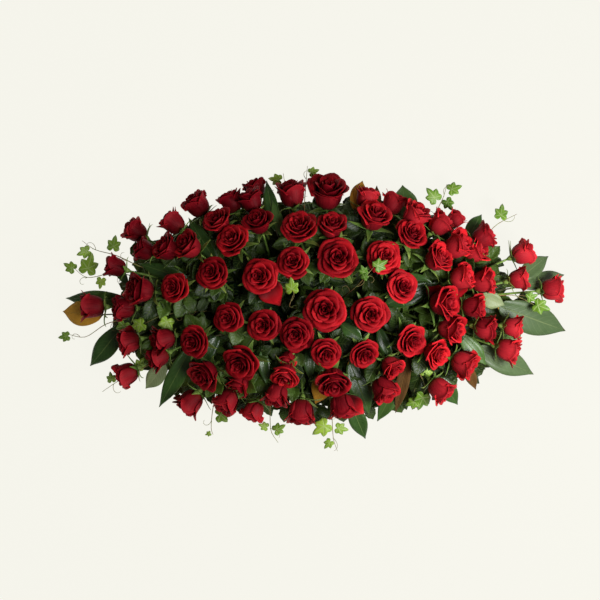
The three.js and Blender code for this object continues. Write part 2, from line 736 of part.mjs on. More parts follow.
// Their leaves: one on each of the more upright stems, where some way round it has room
const LEAF_ANGLES = [0, 180, 35, 145, -35, -145, 70, 110].map(THREE.MathUtils.degToRad);
for (const bunch of bunches) {
  const { roses, root, own } = bunch;
  const others = cutters.filter((cutter) => !own.includes(cutter));
  const leaves = [];
  for (const rose of roses.filter(({ lean }) => lean <= LEAFY_LEAN)) {
    const angle = LEAF_ANGLES.find((turn) => crossing(roseLeafSolid(rose, root, turn, 0), others) === 0);
    if (angle === undefined) continue;
    leaves.push(roseLeafSolid(rose, root, angle, 0));
    cutters.push(roseLeafSolid(rose, root, angle, CLEAR));
    own.push(cutters[cutters.length - 1]);
  }
  bunch.leaves = leaves;
}

// Magnolia twigs: one root, a thin twig to each leaf, and the leathery blades
for (const [twig, leaves] of Object.entries(MAGNOLIA_TWIGS)) {
  const place = (leaf, end) => {
    const [x, y] = leaf[end];
    if (leaf.skirt) return vec(x, y, leaf.skirt[end === "base" ? 0 : 1]);
    return vec(x, y, leafHeight(x, y) + (leaf.high ?? 0));
  };
  const upper = leaves.filter((leaf) => !leaf.skirt);
  const centre = upper.reduce((sum, leaf) => sum.add(place(leaf, "base")), vec(0, 0, 0));
  const root = rootTowards(centre.divideScalar(upper.length));
  const start = root.mouth.clone().addScaledVector(root.direction, ROOT_PROUD - STEM_SUNK);
  const pieces = [rootSolid(root, ROOT_RADIUS, 0)];
  const own = [rootSolid(root, ROOT_RADIUS + CLEAR, CLEAR)];
  for (const leaf of leaves) {
    const base = place(leaf, "base");
    const tip = place(leaf, "tip");
    const across = new THREE.Vector3().crossVectors(UP, tip.clone().sub(base)).normalize();
    const elbow = vec((start.x + base.x) / 2, Math.sign(base.y) * (FOAM_WIDE / 2 + ELBOW_OUT), start.z);
    const rows = leaf.skirt ? 2 : 3;
    const make = (shift, swell) => {
      const foot = base.clone().add(shift);
      const path = leaf.skirt ? [start, elbow.clone().add(shift), foot] : [start, foot];
      const inward = foot.clone().sub(path[path.length - 2]).normalize();
      const blade = bladeSolid(
        foot.clone().addScaledVector(inward, -BLADE_SUNK), tip.clone().add(shift),
        leafRows(leaf.wide, rows), BLADE_BOW, BLADE_WAVE, swell);
      return blade.add(rodAlong(path, TWIG_RADIUS + swell));
    };
    const { piece, shift } = bentClear(make, across, cutters);
    pieces.push(piece);
    own.push(make(shift, CLEAR));
  }
  addNode(twig, joinClear(pieces, cutters), "magnolia");
  cutters.push(...own);
}

// Ivy trails: a thin vine and its lobed leaves
for (const [trail, { vine, leaves, high = 0 }] of Object.entries(IVY_TRAILS)) {
  const place = ([x, y]) => vec(x, y, Math.max(LEAF_RIM - 4, leafHeight(x, y) + high));
  const path = vine.map(place);
  const root = rootTowards(path[0]);
  const start = root.mouth.clone().addScaledVector(root.direction, ROOT_PROUD - STEM_SUNK);
  const across = new THREE.Vector3().crossVectors(UP, path[1].clone().sub(path[0])).normalize();
  const make = (shift, swell) => {
    const moved = path.map((point) => point.clone().add(shift));
    const parts = leaves.map(([along, size, bearing]) =>
      ivyLeafSolid(pointAlong(moved, along), size, bearing, swell));
    return parts.reduce((sum, part) => sum.add(part), rodAlong([start, ...moved], VINE_RADIUS + swell));
  };
  const { piece, shift } = bentClear(make, across, cutters);
  addNode(trail, joinClear([rootSolid(root, ROOT_RADIUS, 0), piece], cutters), "ivy");
  cutters.push(rootSolid(root, ROOT_RADIUS + CLEAR, CLEAR), make(shift, CLEAR));
}

// Filling sprigs, each from a bunch that is rooted near it
const foamBlock = solidFromGeometry(
  new THREE.BoxGeometry(2 * FOAM_LONG + FOAM_JOINT, FOAM_WIDE, FOAM_HIGH)
    .translate(0, 0, FOAM_FLOOR + FOAM_HIGH / 2));

// The first bunch and small shift of its tip that leave a sprig clear of the rest
function sprigWithRoom(tip) {
  const foot = rootTowards(tip).mouth;
  const across = new THREE.Vector3().crossVectors(UP, tip.clone().sub(foot)).normalize();
  const away = ({ root }) => root.mouth.distanceTo(foot);
  for (const bunch of [...bunches].sort((a, b) => away(a) - away(b)).slice(0, SPRIG_ROOTS)) {
    const { root, own } = bunch;
    const others = [foamBlock, ...cutters.filter((cutter) => !own.includes(cutter))];
    for (const [sideways, up] of SHIFTS) {
      const end = tip.clone().addScaledVector(across, sideways).addScaledVector(UP, up);
      const sprig = sprigSolid(root, end, 0);
      if (crossing(sprig, others) > 0) continue;
      if (crossing(leafyPart(sprig, root, end), own.slice(1)) === 0) return { bunch, end, sprig };
    }
  }
  return null;
}

for (const tip of SPRIG_RINGS.flatMap(sprigTips)) {
  const found = sprigWithRoom(tip);
  if (found === null) continue;
  const { bunch, end, sprig } = found;
  const clearance = sprigSolid(bunch.root, end, CLEAR);
  bunch.leaves.push(sprig);
  bunch.own.push(clearance);
  cutters.push(clearance);
}
for (const { name, solid, leaves } of bunches) {
  addNode(`roses_${name}`, joinClear([solid, ...leaves], []), "rose");
}

// The two foam bricks, with a plain hole round each root, a little wider than the root itself
for (const side of [-1, 1]) {
  const brick = new THREE.BoxGeometry(FOAM_LONG, FOAM_WIDE, FOAM_HIGH);
  brick.translate((side * (FOAM_LONG + FOAM_JOINT)) / 2, 0, FOAM_FLOOR + FOAM_HIGH / 2);
  let solid = solidFromGeometry(brick);
  for (const cutter of cutters) {
    if (boxesMeet(solid, cutter) && solid.intersect(cutter).volume() > 0) solid = solid.subtract(cutter);
  }
  addNode(side < 0 ? "foam_brick_west" : "foam_brick_east", solid, "foam");
}

// The tray: a shallow box, open at the top
const trayOutside = new THREE.BoxGeometry(TRAY_LONG, TRAY_WIDE, TRAY_HIGH).translate(0, 0, TRAY_HIGH / 2);
const trayInside = new THREE.BoxGeometry(TRAY_LONG - 2 * TRAY_WALL, TRAY_WIDE - 2 * TRAY_WALL, TRAY_HIGH)
  .translate(0, 0, TRAY_WALL + TRAY_HIGH / 2);
addNode("tray", solidFromGeometry(trayOutside).subtract(solidFromGeometry(trayInside)), "tray");

export default spray;
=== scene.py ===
from math import atan2, copysign, cos, hypot, pi, radians, sin, sqrt

import bpy
import numpy as np
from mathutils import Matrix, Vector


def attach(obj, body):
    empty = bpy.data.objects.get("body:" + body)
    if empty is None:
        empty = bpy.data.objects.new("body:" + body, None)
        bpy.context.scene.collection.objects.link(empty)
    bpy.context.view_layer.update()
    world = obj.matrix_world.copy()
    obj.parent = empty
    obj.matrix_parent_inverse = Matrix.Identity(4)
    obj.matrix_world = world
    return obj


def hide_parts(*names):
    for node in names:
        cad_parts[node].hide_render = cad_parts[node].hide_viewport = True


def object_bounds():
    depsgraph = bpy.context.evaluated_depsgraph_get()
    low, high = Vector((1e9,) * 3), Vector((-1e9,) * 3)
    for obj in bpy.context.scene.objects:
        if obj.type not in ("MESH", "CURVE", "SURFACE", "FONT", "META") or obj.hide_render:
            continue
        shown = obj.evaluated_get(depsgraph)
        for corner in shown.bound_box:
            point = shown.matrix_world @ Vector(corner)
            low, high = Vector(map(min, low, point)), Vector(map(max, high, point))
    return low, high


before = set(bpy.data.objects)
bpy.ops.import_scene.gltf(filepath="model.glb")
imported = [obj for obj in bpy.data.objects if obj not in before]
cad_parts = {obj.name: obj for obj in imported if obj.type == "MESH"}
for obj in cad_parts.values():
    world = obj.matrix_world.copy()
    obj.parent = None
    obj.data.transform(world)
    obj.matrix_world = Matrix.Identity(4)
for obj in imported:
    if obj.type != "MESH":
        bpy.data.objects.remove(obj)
cad_low, cad_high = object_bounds()

# Tray: the shallow dark green tray under everything, moulded in one from polypropylene with soft edges
# and a fine moulded grain. The lid or table carries it, and the foam stands in it.
# Lengths are in millimetres up to the studio, and MM turns them into Blender's metres.
MM = 0.001
TRAY_EDGE = 1.1
TRAY_DARK = (0.010, 0.036, 0.016)
TRAY_LIGHT = (0.020, 0.060, 0.027)


def new_finish(name):
    """A new material and its node tree"""
    material = bpy.data.materials.new(name)
    material.use_nodes = True
    return material, material.node_tree


def set_inputs(tree, node, inputs):
    """Gives a node's inputs numbers, colours or other nodes' outputs"""
    for key, value in inputs.items():
        if isinstance(value, bpy.types.NodeSocket):
            tree.links.new(value, node.inputs[key])
        else:
            node.inputs[key].default_value = value


def add_node(tree, kind, inputs, **settings):
    """A new shader node with its inputs and settings"""
    made = tree.nodes.new("ShaderNode" + kind)
    for key, value in settings.items():
        setattr(made, key, value)
    set_inputs(tree, made, inputs)
    return made


def sums(operation, *values):
    """One step of arithmetic on one or more patterns"""
    tree = next(value.id_data for value in values if isinstance(value, bpy.types.NodeSocket))
    return add_node(tree, "Math", dict(enumerate(values)), operation=operation).outputs[0]


def colour_steps(value, *steps):
    """Colours laid along a value from 0 to 1"""
    ramp = add_node(value.id_data, "ValToRGB", {"Fac": value})
    stops = ramp.color_ramp.elements
    while len(stops) < len(steps):
        stops.new(0.5)
    for stop, (place, colour) in zip(stops, steps):
        stop.position = place
        stop.color = (*colour, 1.0)
    return ramp.outputs["Color"]


def speckle(tree, scale, detail=4.0, where=None, stretch=None):
    """A soft random pattern from 0 to 1, fixed to the piece or to a place on its petals or leaves"""
    place = where or add_node(tree, "TexCoord", {}).outputs["Object"]
    if stretch:
        place = add_node(tree, "Mapping", {"Vector": place, "Scale": stretch}).outputs[0]
    inputs = {"Vector": place, "Scale": scale, "Detail": detail}
    return add_node(tree, "TexNoise", inputs).outputs[0]


def set_shader(tree, inputs):
    """Sets some inputs of a material's main shader"""
    set_inputs(tree, tree.nodes["Principled BSDF"], inputs)


def set_surface(tree, colour, rough, shine=0.5):
    """Sets the colour, the roughness as a pattern with its factor and its least value, and the shine"""
    rough = sums("MULTIPLY_ADD", *rough)
    set_shader(tree, {"Base Color": colour, "Roughness": rough, "Specular IOR Level": shine})


def give_relief(tree, height, depth, strength=1.0):
    """Raises the surface a little where height is large"""
    bump = add_node(tree, "Bump", {"Height": height, "Distance": depth * MM, "Strength": strength})
    set_shader(tree, {"Normal": bump.outputs["Normal"]})


tray_plastic, tree = new_finish("tray plastic")
cloudy = speckle(tree, 18.0)
set_surface(tree, colour_steps(cloudy, (0.3, TRAY_DARK), (0.7, TRAY_LIGHT)), (cloudy, 0.25, 0.30))
give_relief(tree, speckle(tree, 900.0, 2.0), 0.2)
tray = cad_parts["tray"]
tray.material_slots[0].material = tray_plastic
rounding = tray.modifiers.new("soft edges", "BEVEL")
rounding.width = TRAY_EDGE * MM
rounding.segments = 3
rounding.limit_method = "ANGLE"

# Foam: two bricks of wet green phenolic foam, crumbly and full of pores, pressed into the tray side by
# side. Every stem and twig is pushed into them.
FOAM_BRICKS = [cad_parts[brick] for brick in ("foam_brick_west", "foam_brick_east")]
FOAM_DRY = (0.030, 0.085, 0.034)
FOAM_PORE = (0.006, 0.022, 0.008)
FOAM_WET = (0.010, 0.034, 0.013)


def blended(share, first, second):
    """The first colour where share is 0 and the second where it is 1"""
    ends = [(*colour, 1.0) if isinstance(colour, tuple) else colour for colour in (first, second)]
    inputs = {0: share, 6: ends[0], 7: ends[1]}
    return add_node(share.id_data, "Mix", inputs, data_type="RGBA").outputs[2]


wet_foam, tree = new_finish("wet foam")
in_piece = add_node(tree, "TexCoord", {}).outputs["Object"]
pores = add_node(tree, "TexVoronoi", {"Vector": in_piece, "Scale": 420.0}).outputs["Distance"]
damp = speckle(tree, 30.0)
crumb = colour_steps(pores, (0.1, FOAM_PORE), (0.6, FOAM_DRY))
set_surface(tree, blended(damp, crumb, FOAM_WET), (damp, 0.3, 0.65), 0.2)
give_relief(tree, sums("ADD", pores, speckle(tree, 90.0)), 1.2)
for brick in FOAM_BRICKS:
    brick.material_slots[0].material = wet_foam

# Roses: velvety deep red blooms of two to three dozen petals, wrapped round each other and rolled back at
# the rim; opened wide over the crown and still cupped towards the ends. The stems of a bunch go into the
# foam at one place, and hold its blooms.
ROSE_SEED = 1000
# Each bloom of a bunch: the x and y of its middle, its width, how far it leans outward in degrees, and how
# far it lies below the dome of the blooms
ROSE_BUNCHES = {
    "crown_middle": [(22, -2, 99, 2), (25, -102, 72, 25)],
    "crown_north": [(53, 121, 92, 10), (162, 123, 80, 20)],
    "crown_west": [(-131, 76, 83, 10), (-53, 111, 76, 15)],
    "crown_east": [(129, -12, 83, 10), (203, 52, 75, 25)],
    "crown_south": [(-46, -59, 77, 10), (-65, -116, 42, 60, 24), (-70, -156, 66, 50)],
    "crown_south_west": [(-122, -38, 77, 10), (-205, -21, 71, 20)],
    "west_upper": [(-245, 85, 74, 20), (-333, 50, 70, 30)],
    "north_middle": [(-39, 190, 84, 40), (39, 194, 68, 50)],
    "south_east_middle": [(113, -104, 70, 35), (222, -74, 76, 40)],
    "south_middle": [(42, -171, 80, 50), (63, -230, 70, 80)],
    "north_west_middle": [(-195, 163, 76, 35), (-136, 204, 66, 50)],
    "north_rim_west": [(-143, 287, 56, 95, 22), (-153, 256, 62, 80), (-56, 273, 72, 80)],
    "north_rim_middle": [(30, 275, 94, 55), (122, 263, 60, 85)],
    "north_east_middle": [(139, 218, 82, 50), (184, 251, 62, 90, 20)],
    "north_east": [(236, 220, 68, 70), (226, 175, 74, 40)],
    "east_upper": [(295, 202, 64, 85), (333, 213, 50, 90, 24), (335, 149, 72, 70), (288, 119, 72, 55)],
    "east_rim_upper": [(399, 171, 62, 92), (380, 135, 60, 75, 22)],
    "east_middle": [(345, 74, 64, 70), (397, 66, 66, 75, 10), (373, 5, 62, 75)],
    "east_tip": [(494, 133, 64, 92), (482, 71, 56, 90), (565, 47, 64, 96)],
    "east_lower": [(302, 14, 78, 60), (319, -45, 70, 65, 8)],
    "east_rim_lower": [(402, -45, 62, 85), (468, -43, 54, 90), (456, -97, 66, 85)],
    "south_east": [(283, -104, 67, 50), (350, -128, 69, 75), (295, -190, 66, 80)],
    "south_east_rim": [(179, -135, 58, 60), (160, -187, 68, 70)],
    "south_rim_middle": [(-146, -242, 58, 90), (-91, -202, 64, 75), (-34, -244, 72, 80)],
    "south_west_middle": [(-174, -126, 82, 35), (-179, -180, 58, 65, 26), (-210, -218, 64, 75)],
    "south_west": [(-262, -152, 74, 50), (-297, -220, 68, 90)],
    "west_lower": [(-286, -76, 76, 30), (-359, -71, 64, 75), (-373, -114, 60, 80, 18)],
    "west_rim_lower": [(-442, -78, 62, 85), (-449, -154, 64, 90)],
    "west_tip": [(-530, 5, 70, 90), (-454, 2, 62, 80, 20), (-414, 45, 74, 65)],
    "west_rim_upper": [(-475, 100, 58, 85), (-406, 140, 54, 80, 14), (-428, 185, 62, 80)],
    "north_west": [(-338, 204, 64, 92), (-352, 142, 64, 65), (-300, 149, 72, 55)],
    "north_west_rim": [(-281, 247, 66, 75), (-231, 206, 68, 50), (-200, 254, 62, 90, 12)],
}
# Outer petals that have dropped open, by the middle of their bloom: the way each points in degrees, and
# how far it reaches as a share of the bloom's width
LOOSE_PETALS = {
    (-131, 76): (-55, 1.02), (63, -230): (-20, 0.85), (345, 74): (-88, 0.80),
    (-414, 45): (195, 0.68), (-442, -78): (130, 0.62), (302, 14): (100, 0.62),
}
# The rings of petals from the heart outward, in shares of the bloom's width: how far out and how high
# the rim is, how far the petal leans out and how far its rim rolls back in degrees, the number of petals,
# and half the angle that one wraps in degrees
CUP_RINGS = (
    (0.030, 0.24, 0, 20, 2, 130), (0.075, 0.27, 2, 30, 3, 96), (0.130, 0.29, 4, 40, 3, 90),
    (0.200, 0.30, 8, 45, 3, 84), (0.275, 0.30, 12, 60, 3, 80), (0.350, 0.28, 16, 80, 3, 76),
    (0.415, 0.24, 20, 92, 4, 64),
)
OPEN_RINGS = (
    (0.030, 0.17, 0, 20, 2, 130), (0.068, 0.21, 5, 35, 3, 92), (0.115, 0.21, 12, 50, 4, 70),
    (0.180, 0.19, 22, 70, 4, 66), (0.255, 0.14, 36, 85, 4, 68), (0.330, 0.06, 50, 90, 4, 68),
    (0.400, -0.03, 62, 90, 5, 60),
)
CUP_LEAN = 70
FLAT_LEAN = 20
BLOOM_HALF_LONG = 590
BLOOM_HALF_WIDE = 304
BLOOM_RIM = 62
BLOOM_CROWN = 246
foam_corners = np.array([corner for brick in FOAM_BRICKS for corner in brick.bound_box]) / MM
FOAM_HALF_LONG, FOAM_HALF_WIDE, FOAM_TOP = np.round(foam_corners.max(axis=0), 1)
# Every stem and twig aims at a place low in the foam, at a share of its own x and y
AIM_ALONG = 0.4
AIM_ACROSS = 0.12
AIM_HALF_LONG = 200
AIM_HIGH = 30
CALYX_BELOW = 30
OPEN_SHARE = 0.45
LOOSE_ROWS = 10
LOOSE_COLUMNS = 9
PETAL_THICK = 0.5
PETAL_CREST = 0.86
UP = np.array((0.0, 0.0, 1.0))


def unit(v):
    return v / max(np.linalg.norm(v), 1e-9)


def between(low, high, share):
    return low + (high - low) * share


def dome_height(x, y, half_long, half_wide, rim, crown):
    """The height of a half ellipsoid that stands on a rim"""
    out = (x / half_long) ** 2 + (y / half_wide) ** 2
    return rim + (crown - rim) * sqrt(max(0.0, 1.0 - out))


def root_towards(place):
    """Where a stem that leads to a place leaves the foam, and its direction there"""
    along = min(max(AIM_ALONG * place[0], -AIM_HALF_LONG), AIM_HALF_LONG)
    aim = np.array((along, AIM_ACROSS * place[1], AIM_HIGH))
    direction = unit(place - aim)
    runs = []
    for k, half in ((0, FOAM_HALF_LONG), (1, FOAM_HALF_WIDE)):
        if direction[k] != 0:
            runs.append((copysign(half, direction[k]) - aim[k]) / direction[k])
    if direction[2] > 0:
        runs.append((FOAM_TOP - aim[2]) / direction[2])
    return aim + direction * min(runs), direction


def turned_to(facing):
    """The turn that takes straight up to a direction, as three rows"""
    axis = np.cross(UP, facing)
    sine = np.linalg.norm(axis)
    if sine < 1e-6:
        return np.eye(3)
    axis = axis / sine
    cross = np.array(((0, -axis[2], axis[1]), (axis[2], 0, -axis[0]), (-axis[1], axis[0], 0)))
    return np.eye(3) + sine * cross + (1 - facing[2]) * cross @ cross


def new_heap():
    """An empty heap of skins that will make one piece"""
    return {"points": [], "faces": [], "flat": [], "tone": [], "finish": [], "count": 0}


def add_skin(heap, points, faces, flat, tone, finishes):
    """Adds points and faces; flat is each point's place on its petal or leaf, from 0 to 1 across and along"""
    heap["points"].append(points)
    heap["faces"] += (np.asarray(faces) + heap["count"]).tolist()
    heap["flat"].append(flat)
    heap["tone"].append(np.full(len(points), tone))
    heap["finish"] += finishes
    heap["count"] += len(points)


def add_sheet(heap, grid, thick, tone, above=0, below=0, rib=0.0):
    """Adds a thin closed sheet over a grid of points: two skins, and the edge between them"""
    rows, cols = grid.shape[:2]
    square = np.cross(np.gradient(grid, axis=0), np.gradient(grid, axis=1))
    square /= np.maximum(np.linalg.norm(square, axis=2, keepdims=True), 1e-9)
    depth = np.full(cols, float(thick))
    depth[cols // 2] += rib
    under = grid - square * depth[None, :, None]
    number = np.arange(rows * cols).reshape(rows, cols)
    top = np.stack((number[:-1, :-1], number[1:, :-1], number[1:, 1:], number[:-1, 1:]), -1).reshape(-1, 4)
    bottom = top[:, ::-1] + rows * cols
    edge = np.concatenate((number[0], number[1:, -1], number[-1, -2::-1], number[-2:0:-1, 0]))
    after = np.roll(edge, -1)
    rim = np.stack((edge, after, after + rows * cols, edge + rows * cols), -1)
    across, along = np.meshgrid(np.linspace(0, 1, cols), np.linspace(0, 1, rows))
    flat = np.stack((across, along), -1).reshape(-1, 2)
    points = np.concatenate((grid.reshape(-1, 3), under.reshape(-1, 3)))
    finishes = [above] * len(top) + [below] * len(bottom) + [above] * len(rim)
    add_skin(heap, points, np.concatenate((top, bottom, rim)), np.concatenate((flat, flat)), tone, finishes)


def place_new(name, data):
    """A new object in the scene"""
    made = bpy.data.objects.new(name, data)
    bpy.context.scene.collection.objects.link(made)
    return made


def make_piece(name, heap, finishes, nodes=()):
    """Turns a heap of skins into one piece on the spray"""
    mesh = bpy.data.meshes.new(name)
    faces = [face[:3] if face[2] == face[3] else face for face in heap["faces"]]
    mesh.from_pydata((np.concatenate(heap["points"]) * MM).tolist(), [], faces)
    corner = np.zeros(len(mesh.loops), np.int32)
    mesh.loops.foreach_get("vertex_index", corner)
    flat = np.concatenate(heap["flat"]).astype(np.float32)
    mesh.uv_layers.new(name="grain").data.foreach_set("uv", flat[corner].ravel())
    tone = np.concatenate(heap["tone"]).astype(np.float32)
    mesh.attributes.new("tone", "FLOAT", "POINT").data.foreach_set("value", tone)
    for finish in finishes:
        mesh.materials.append(finish)
    mesh.polygons.foreach_set("material_index", heap["finish"])
    mesh.polygons.foreach_set("use_smooth", [True] * len(mesh.polygons))
    mesh.update()
    piece = place_new(name, mesh)
    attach(piece, "root")
    if nodes:
        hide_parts(*nodes)
    return piece


def curve_weights(t):
    """The shares of a curve's four handles, and of the three runs between them in its direction"""
    places = ((1 - t) ** 3, 3 * t * (1 - t) ** 2, 3 * t * t * (1 - t), t ** 3)
    return places, (3 * (1 - t) ** 2, 6 * t * (1 - t), 3 * t * t)


def bloom_pose(rose):
    """Where a bloom is, the way it faces, and how far it has opened"""
    x, y, across, lean = rose[:4]
    drop = rose[4] if len(rose) > 4 else 0
    height = dome_height(x, y, BLOOM_HALF_LONG, BLOOM_HALF_WIDE, BLOOM_RIM, BLOOM_CROWN) - drop
    outward = atan2((1 - AIM_ACROSS) * y, (1 - AIM_ALONG) * x)
    tilt = radians(lean)
    level = sin(tilt)
    facing = np.array((level * cos(outward), level * sin(outward), cos(tilt)))
    opened = min(max((CUP_LEAN - lean) / (CUP_LEAN - FLAT_LEAN), 0.0), 1.0)
    return np.array((x, y, height)), facing, opened


def petal_grid(radius, height, splay, roll, wrap, foot, bearing, outer, rows, cols, draw):
    """One petal, in shares of the bloom's width. It rises from the foot and swells; its top corners roll
    back further than its middle, which leaves a point."""
    along = np.linspace(0, 1, rows)[:, None] ** 0.8
    side = np.linspace(-1, 1, cols)[None, :]
    point = draw(0.0, 0.08 + 0.06 * sin(splay)) * outer
    rounding = 0.30 - 0.16 * sin(splay)
    length = 1 - rounding * np.abs(side) ** 2.2 + point * np.exp(-((side / 0.40) ** 2))
    start = PETAL_CREST - between(0.04, 0.24, outer) * side ** 2
    run = along * length
    belly = radius * between(1.10, 0.80, sin(splay)) + 0.04
    lead = np.array((sin(splay), cos(splay)))
    rim = np.array((radius, height))
    handles = [np.array((0.03, foot)), np.array((belly, foot)), rim - 0.30 * (height - foot) * lead, rim]
    runs = [handles[k + 1] - handles[k] for k in range(3)]
    long = 0.92 * sum(np.linalg.norm(step) for step in runs)
    places, ways = curve_weights(np.minimum(run, start) / PETAL_CREST)
    out, up = (sum(w * handle[k] for w, handle in zip(places, handles)) for k in (0, 1))
    way_out, way_up = (sum(w * step[k] for w, step in zip(ways, runs)) for k in (0, 1))
    pace = np.hypot(way_out, way_up)
    way_out = way_out / pace
    way_up = way_up / pace
    past = np.maximum(run - start, 0) * long
    corner = between(0.15, 0.55, outer)
    tight = roll * (1 - corner + corner * np.abs(side) ** 1.1) / (np.maximum(length - start, 0.05) * long)
    turn = tight * past
    out = out + (np.sin(turn) * way_out + (1 - np.cos(turn)) * way_up) / tight
    up = up + (np.sin(turn) * way_up - (1 - np.cos(turn)) * way_out) / tight
    wave, ripple = draw(0, 2 * pi, 2)
    sag = draw(-0.03, 0.03)
    tuck = draw(0.04, 0.09)
    up = up + along ** 2 * (0.012 * np.sin(3.1 * side + wave) + sag * side)
    out = out * (1 + tuck * side * along) + 0.009 * along ** 3 * np.sin(4.6 * side + ripple)
    spread = wrap * (0.45 + 0.55 * np.sin(pi / 2 * np.minimum(1, along / 0.6)))
    spread = spread * (1 - rounding * np.clip((along - 0.7) / 0.3, 0, 1) ** 2)
    angle = bearing + side * spread
    return np.stack((out * np.cos(angle), out * np.sin(angle), up), -1)


def add_loose_petal(heap, middle, facing, across, way, reach):
    """An outer petal that has dropped open beside its bloom"""
    bearing = radians(way)
    base = middle - facing * across * 0.30
    tip = middle + np.array((cos(bearing), sin(bearing), 0.0)) * across * reach - UP * across * 0.42
    u = np.linspace(0, 1, LOOSE_ROWS)[:, None, None]
    t = np.linspace(-1, 1, LOOSE_COLUMNS)[None, :, None]
    long = tip - base
    sideways = unit(np.cross(UP, long))
    face = unit(np.cross(long, sideways))
    half = across * 0.36 * np.sin(pi * (0.10 + 0.78 * u)) ** 0.9
    cupped = across * (0.10 * t * t * np.sin(pi * u) + 0.16 * np.sin(pi * u) - 0.16 * u ** 5)
    cupped = cupped + across * 0.02 * np.sin(5 * t + 2 * u) * u
    grid = base + long * u * (1 - 0.16 * np.abs(t) ** 1.6) + sideways * t * half + face * cupped
    add_sheet(heap, grid, PETAL_THICK, 1.0, 0, 1)


def own_place(tree):
    """A point's place on its petal or leaf, that place across and along, and the petal's or leaf's tone"""
    flat = add_node(tree, "UVMap", {}, uv_map="grain").outputs[0]
    split = add_node(tree, "SeparateXYZ", {"Vector": flat}).outputs
    tone = add_node(tree, "Attribute", {}, attribute_name="tone").outputs["Fac"]
    return flat, split["X"], split["Y"], tone


def varied(tone, pattern, strength):
    """A tone that a pattern makes lighter and darker"""
    return sums("ADD", sums("MULTIPLY_ADD", pattern, strength, -strength / 2), tone)


def petal_finish(name, ramp_deep, ramp_bright):
    """Velvety red, streaked lengthwise and mottled, with painted shade deepening it towards the petal's foot
    """
    material, tree = new_finish(name)
    flat, _, along, tone = own_place(tree)
    streaks = speckle(tree, 1.0, 3.0, flat, (22.0, 2.2, 1.0))
    mottled = speckle(tree, 60.0, 3.0)
    mix = varied(varied(tone, streaks, 0.6), mottled, 0.5)
    deep = colour_steps(along, *ramp_deep)
    bright = colour_steps(along, *ramp_bright)
    set_surface(tree, blended(mix, deep, bright), (mottled, 0.22, 0.42), 0.07)
    velvet = {"Sheen Weight": 0.035, "Sheen Roughness": 0.40, "Sheen Tint": (1.0, 0.25, 0.30, 1.0)}
    set_shader(tree, velvet)
    height = sums("MULTIPLY_ADD", streaks, 0.7, speckle(tree, 400.0, 2.0))
    give_relief(tree, height, 0.6, 0.6)
    return material


# Inside of the petals: near black to well past the middle, then red to the rim. The dark lower part is
# painted shade of the folds deep in the bloom
petal_inside = petal_finish(
    "petal inside",
    ((0.0, (0.016, 0.002, 0.001)), (0.45, (0.018, 0.001, 0.001)), (0.78, (0.09, 0.001, 0.003)),
     (0.93, (0.22, 0.002, 0.006)), (1.0, (0.32, 0.005, 0.012))),
    ((0.0, (0.030, 0.004, 0.002)), (0.40, (0.06, 0.001, 0.002)), (0.72, (0.36, 0.005, 0.010)),
     (0.9, (0.78, 0.015, 0.022)), (1.0, (0.86, 0.030, 0.040))),
)
# Outside of the petals: a milder darkening towards the calyx, also painted shade
petal_outside = petal_finish(
    "petal outside",
    ((0.0, (0.08, 0.012, 0.006)), (0.3, (0.10, 0.002, 0.005)), (0.8, (0.16, 0.002, 0.007)),
     (1.0, (0.22, 0.004, 0.010))),
    ((0.0, (0.20, 0.030, 0.012)), (0.3, (0.34, 0.012, 0.020)), (0.8, (0.64, 0.030, 0.040)),
     (1.0, (0.78, 0.044, 0.058))),
)


def add_bloom(heap, rose, draw):
    """All the petals of one bloom"""
    middle, facing, opened = bloom_pose(rose)
    across = rose[2]
    spin = turned_to(facing)
    foot = -between(0.42, 0.34, opened)
    drift = draw(-0.03, 0.03, 2)
    # A bloom's tone: random, plus painted light that makes blooms lighter towards the east end where the lamp
    # is, and painted shade that darkens the rear blooms past y 150, most towards the west
    tone_with_painted_light = draw(0.15, 0.70) + 0.35 * rose[0] / BLOOM_HALF_LONG
    tone_with_painted_light -= 0.0035 * max(rose[1] - 150, 0) * (0.6 - 0.4 * rose[0] / BLOOM_HALF_LONG)
    turn = draw(0, 2 * pi)
    for ring, (cup, wide) in enumerate(zip(CUP_RINGS, OPEN_RINGS)):
        outer = ring / (len(CUP_RINGS) - 1)
        radius, height, splay, roll = (between(cup[k], wide[k], opened) for k in range(4))
        count, wrap = (wide if opened > OPEN_SHARE else cup)[4:]
        fineness = (6, 7) if ring < 3 else (8, 7) if ring < 5 else (10, 9)
        turn += pi / count * 1.1
        for k in range(count):
            flare = draw(0, 1) ** 4 * outer ** 2
            grid = petal_grid(
                radius * draw(0.95, 1.06) * (1 + 0.10 * flare),
                height + draw(-0.02, 0.02) - 0.10 * flare,
                radians(splay + 25 * flare), radians(roll * draw(0.7, 1.25)),
                radians(wrap * draw(0.93, 1.07)), foot,
                turn + 2 * pi * k / count + draw(-0.14, 0.14), outer, *fineness, draw,
            )
            grid[..., :2] += drift * (1 - outer) * np.clip(grid[..., 2:] - foot, 0, 1)
            # Inner rings are darker, most at the heart: painted shade deep in the bloom
            lightness = tone_with_painted_light + draw(-0.25, 0.25) - 0.80 * (1 - outer) ** 2
            add_sheet(heap, middle + across * grid @ spin.T, PETAL_THICK, lightness, 0, 1)
    if tuple(rose[:2]) in LOOSE_PETALS:
        add_loose_petal(heap, middle, facing, across, *LOOSE_PETALS[tuple(rose[:2])])


bunches = []
for number, (name, roses) in enumerate(ROSE_BUNCHES.items()):
    draw = np.random.default_rng(ROSE_SEED + number).uniform
    heap = new_heap()
    for rose in roses:
        add_bloom(heap, rose, draw)
    make_piece(f"roses_{name}_blooms", heap, [petal_inside, petal_outside], [f"roses_{name}"])
    centre = sum(bloom_pose(rose)[0] for rose in roses) / len(roses) - UP * CALYX_BELOW
    bunches.append((name, roses, *root_towards(centre)))

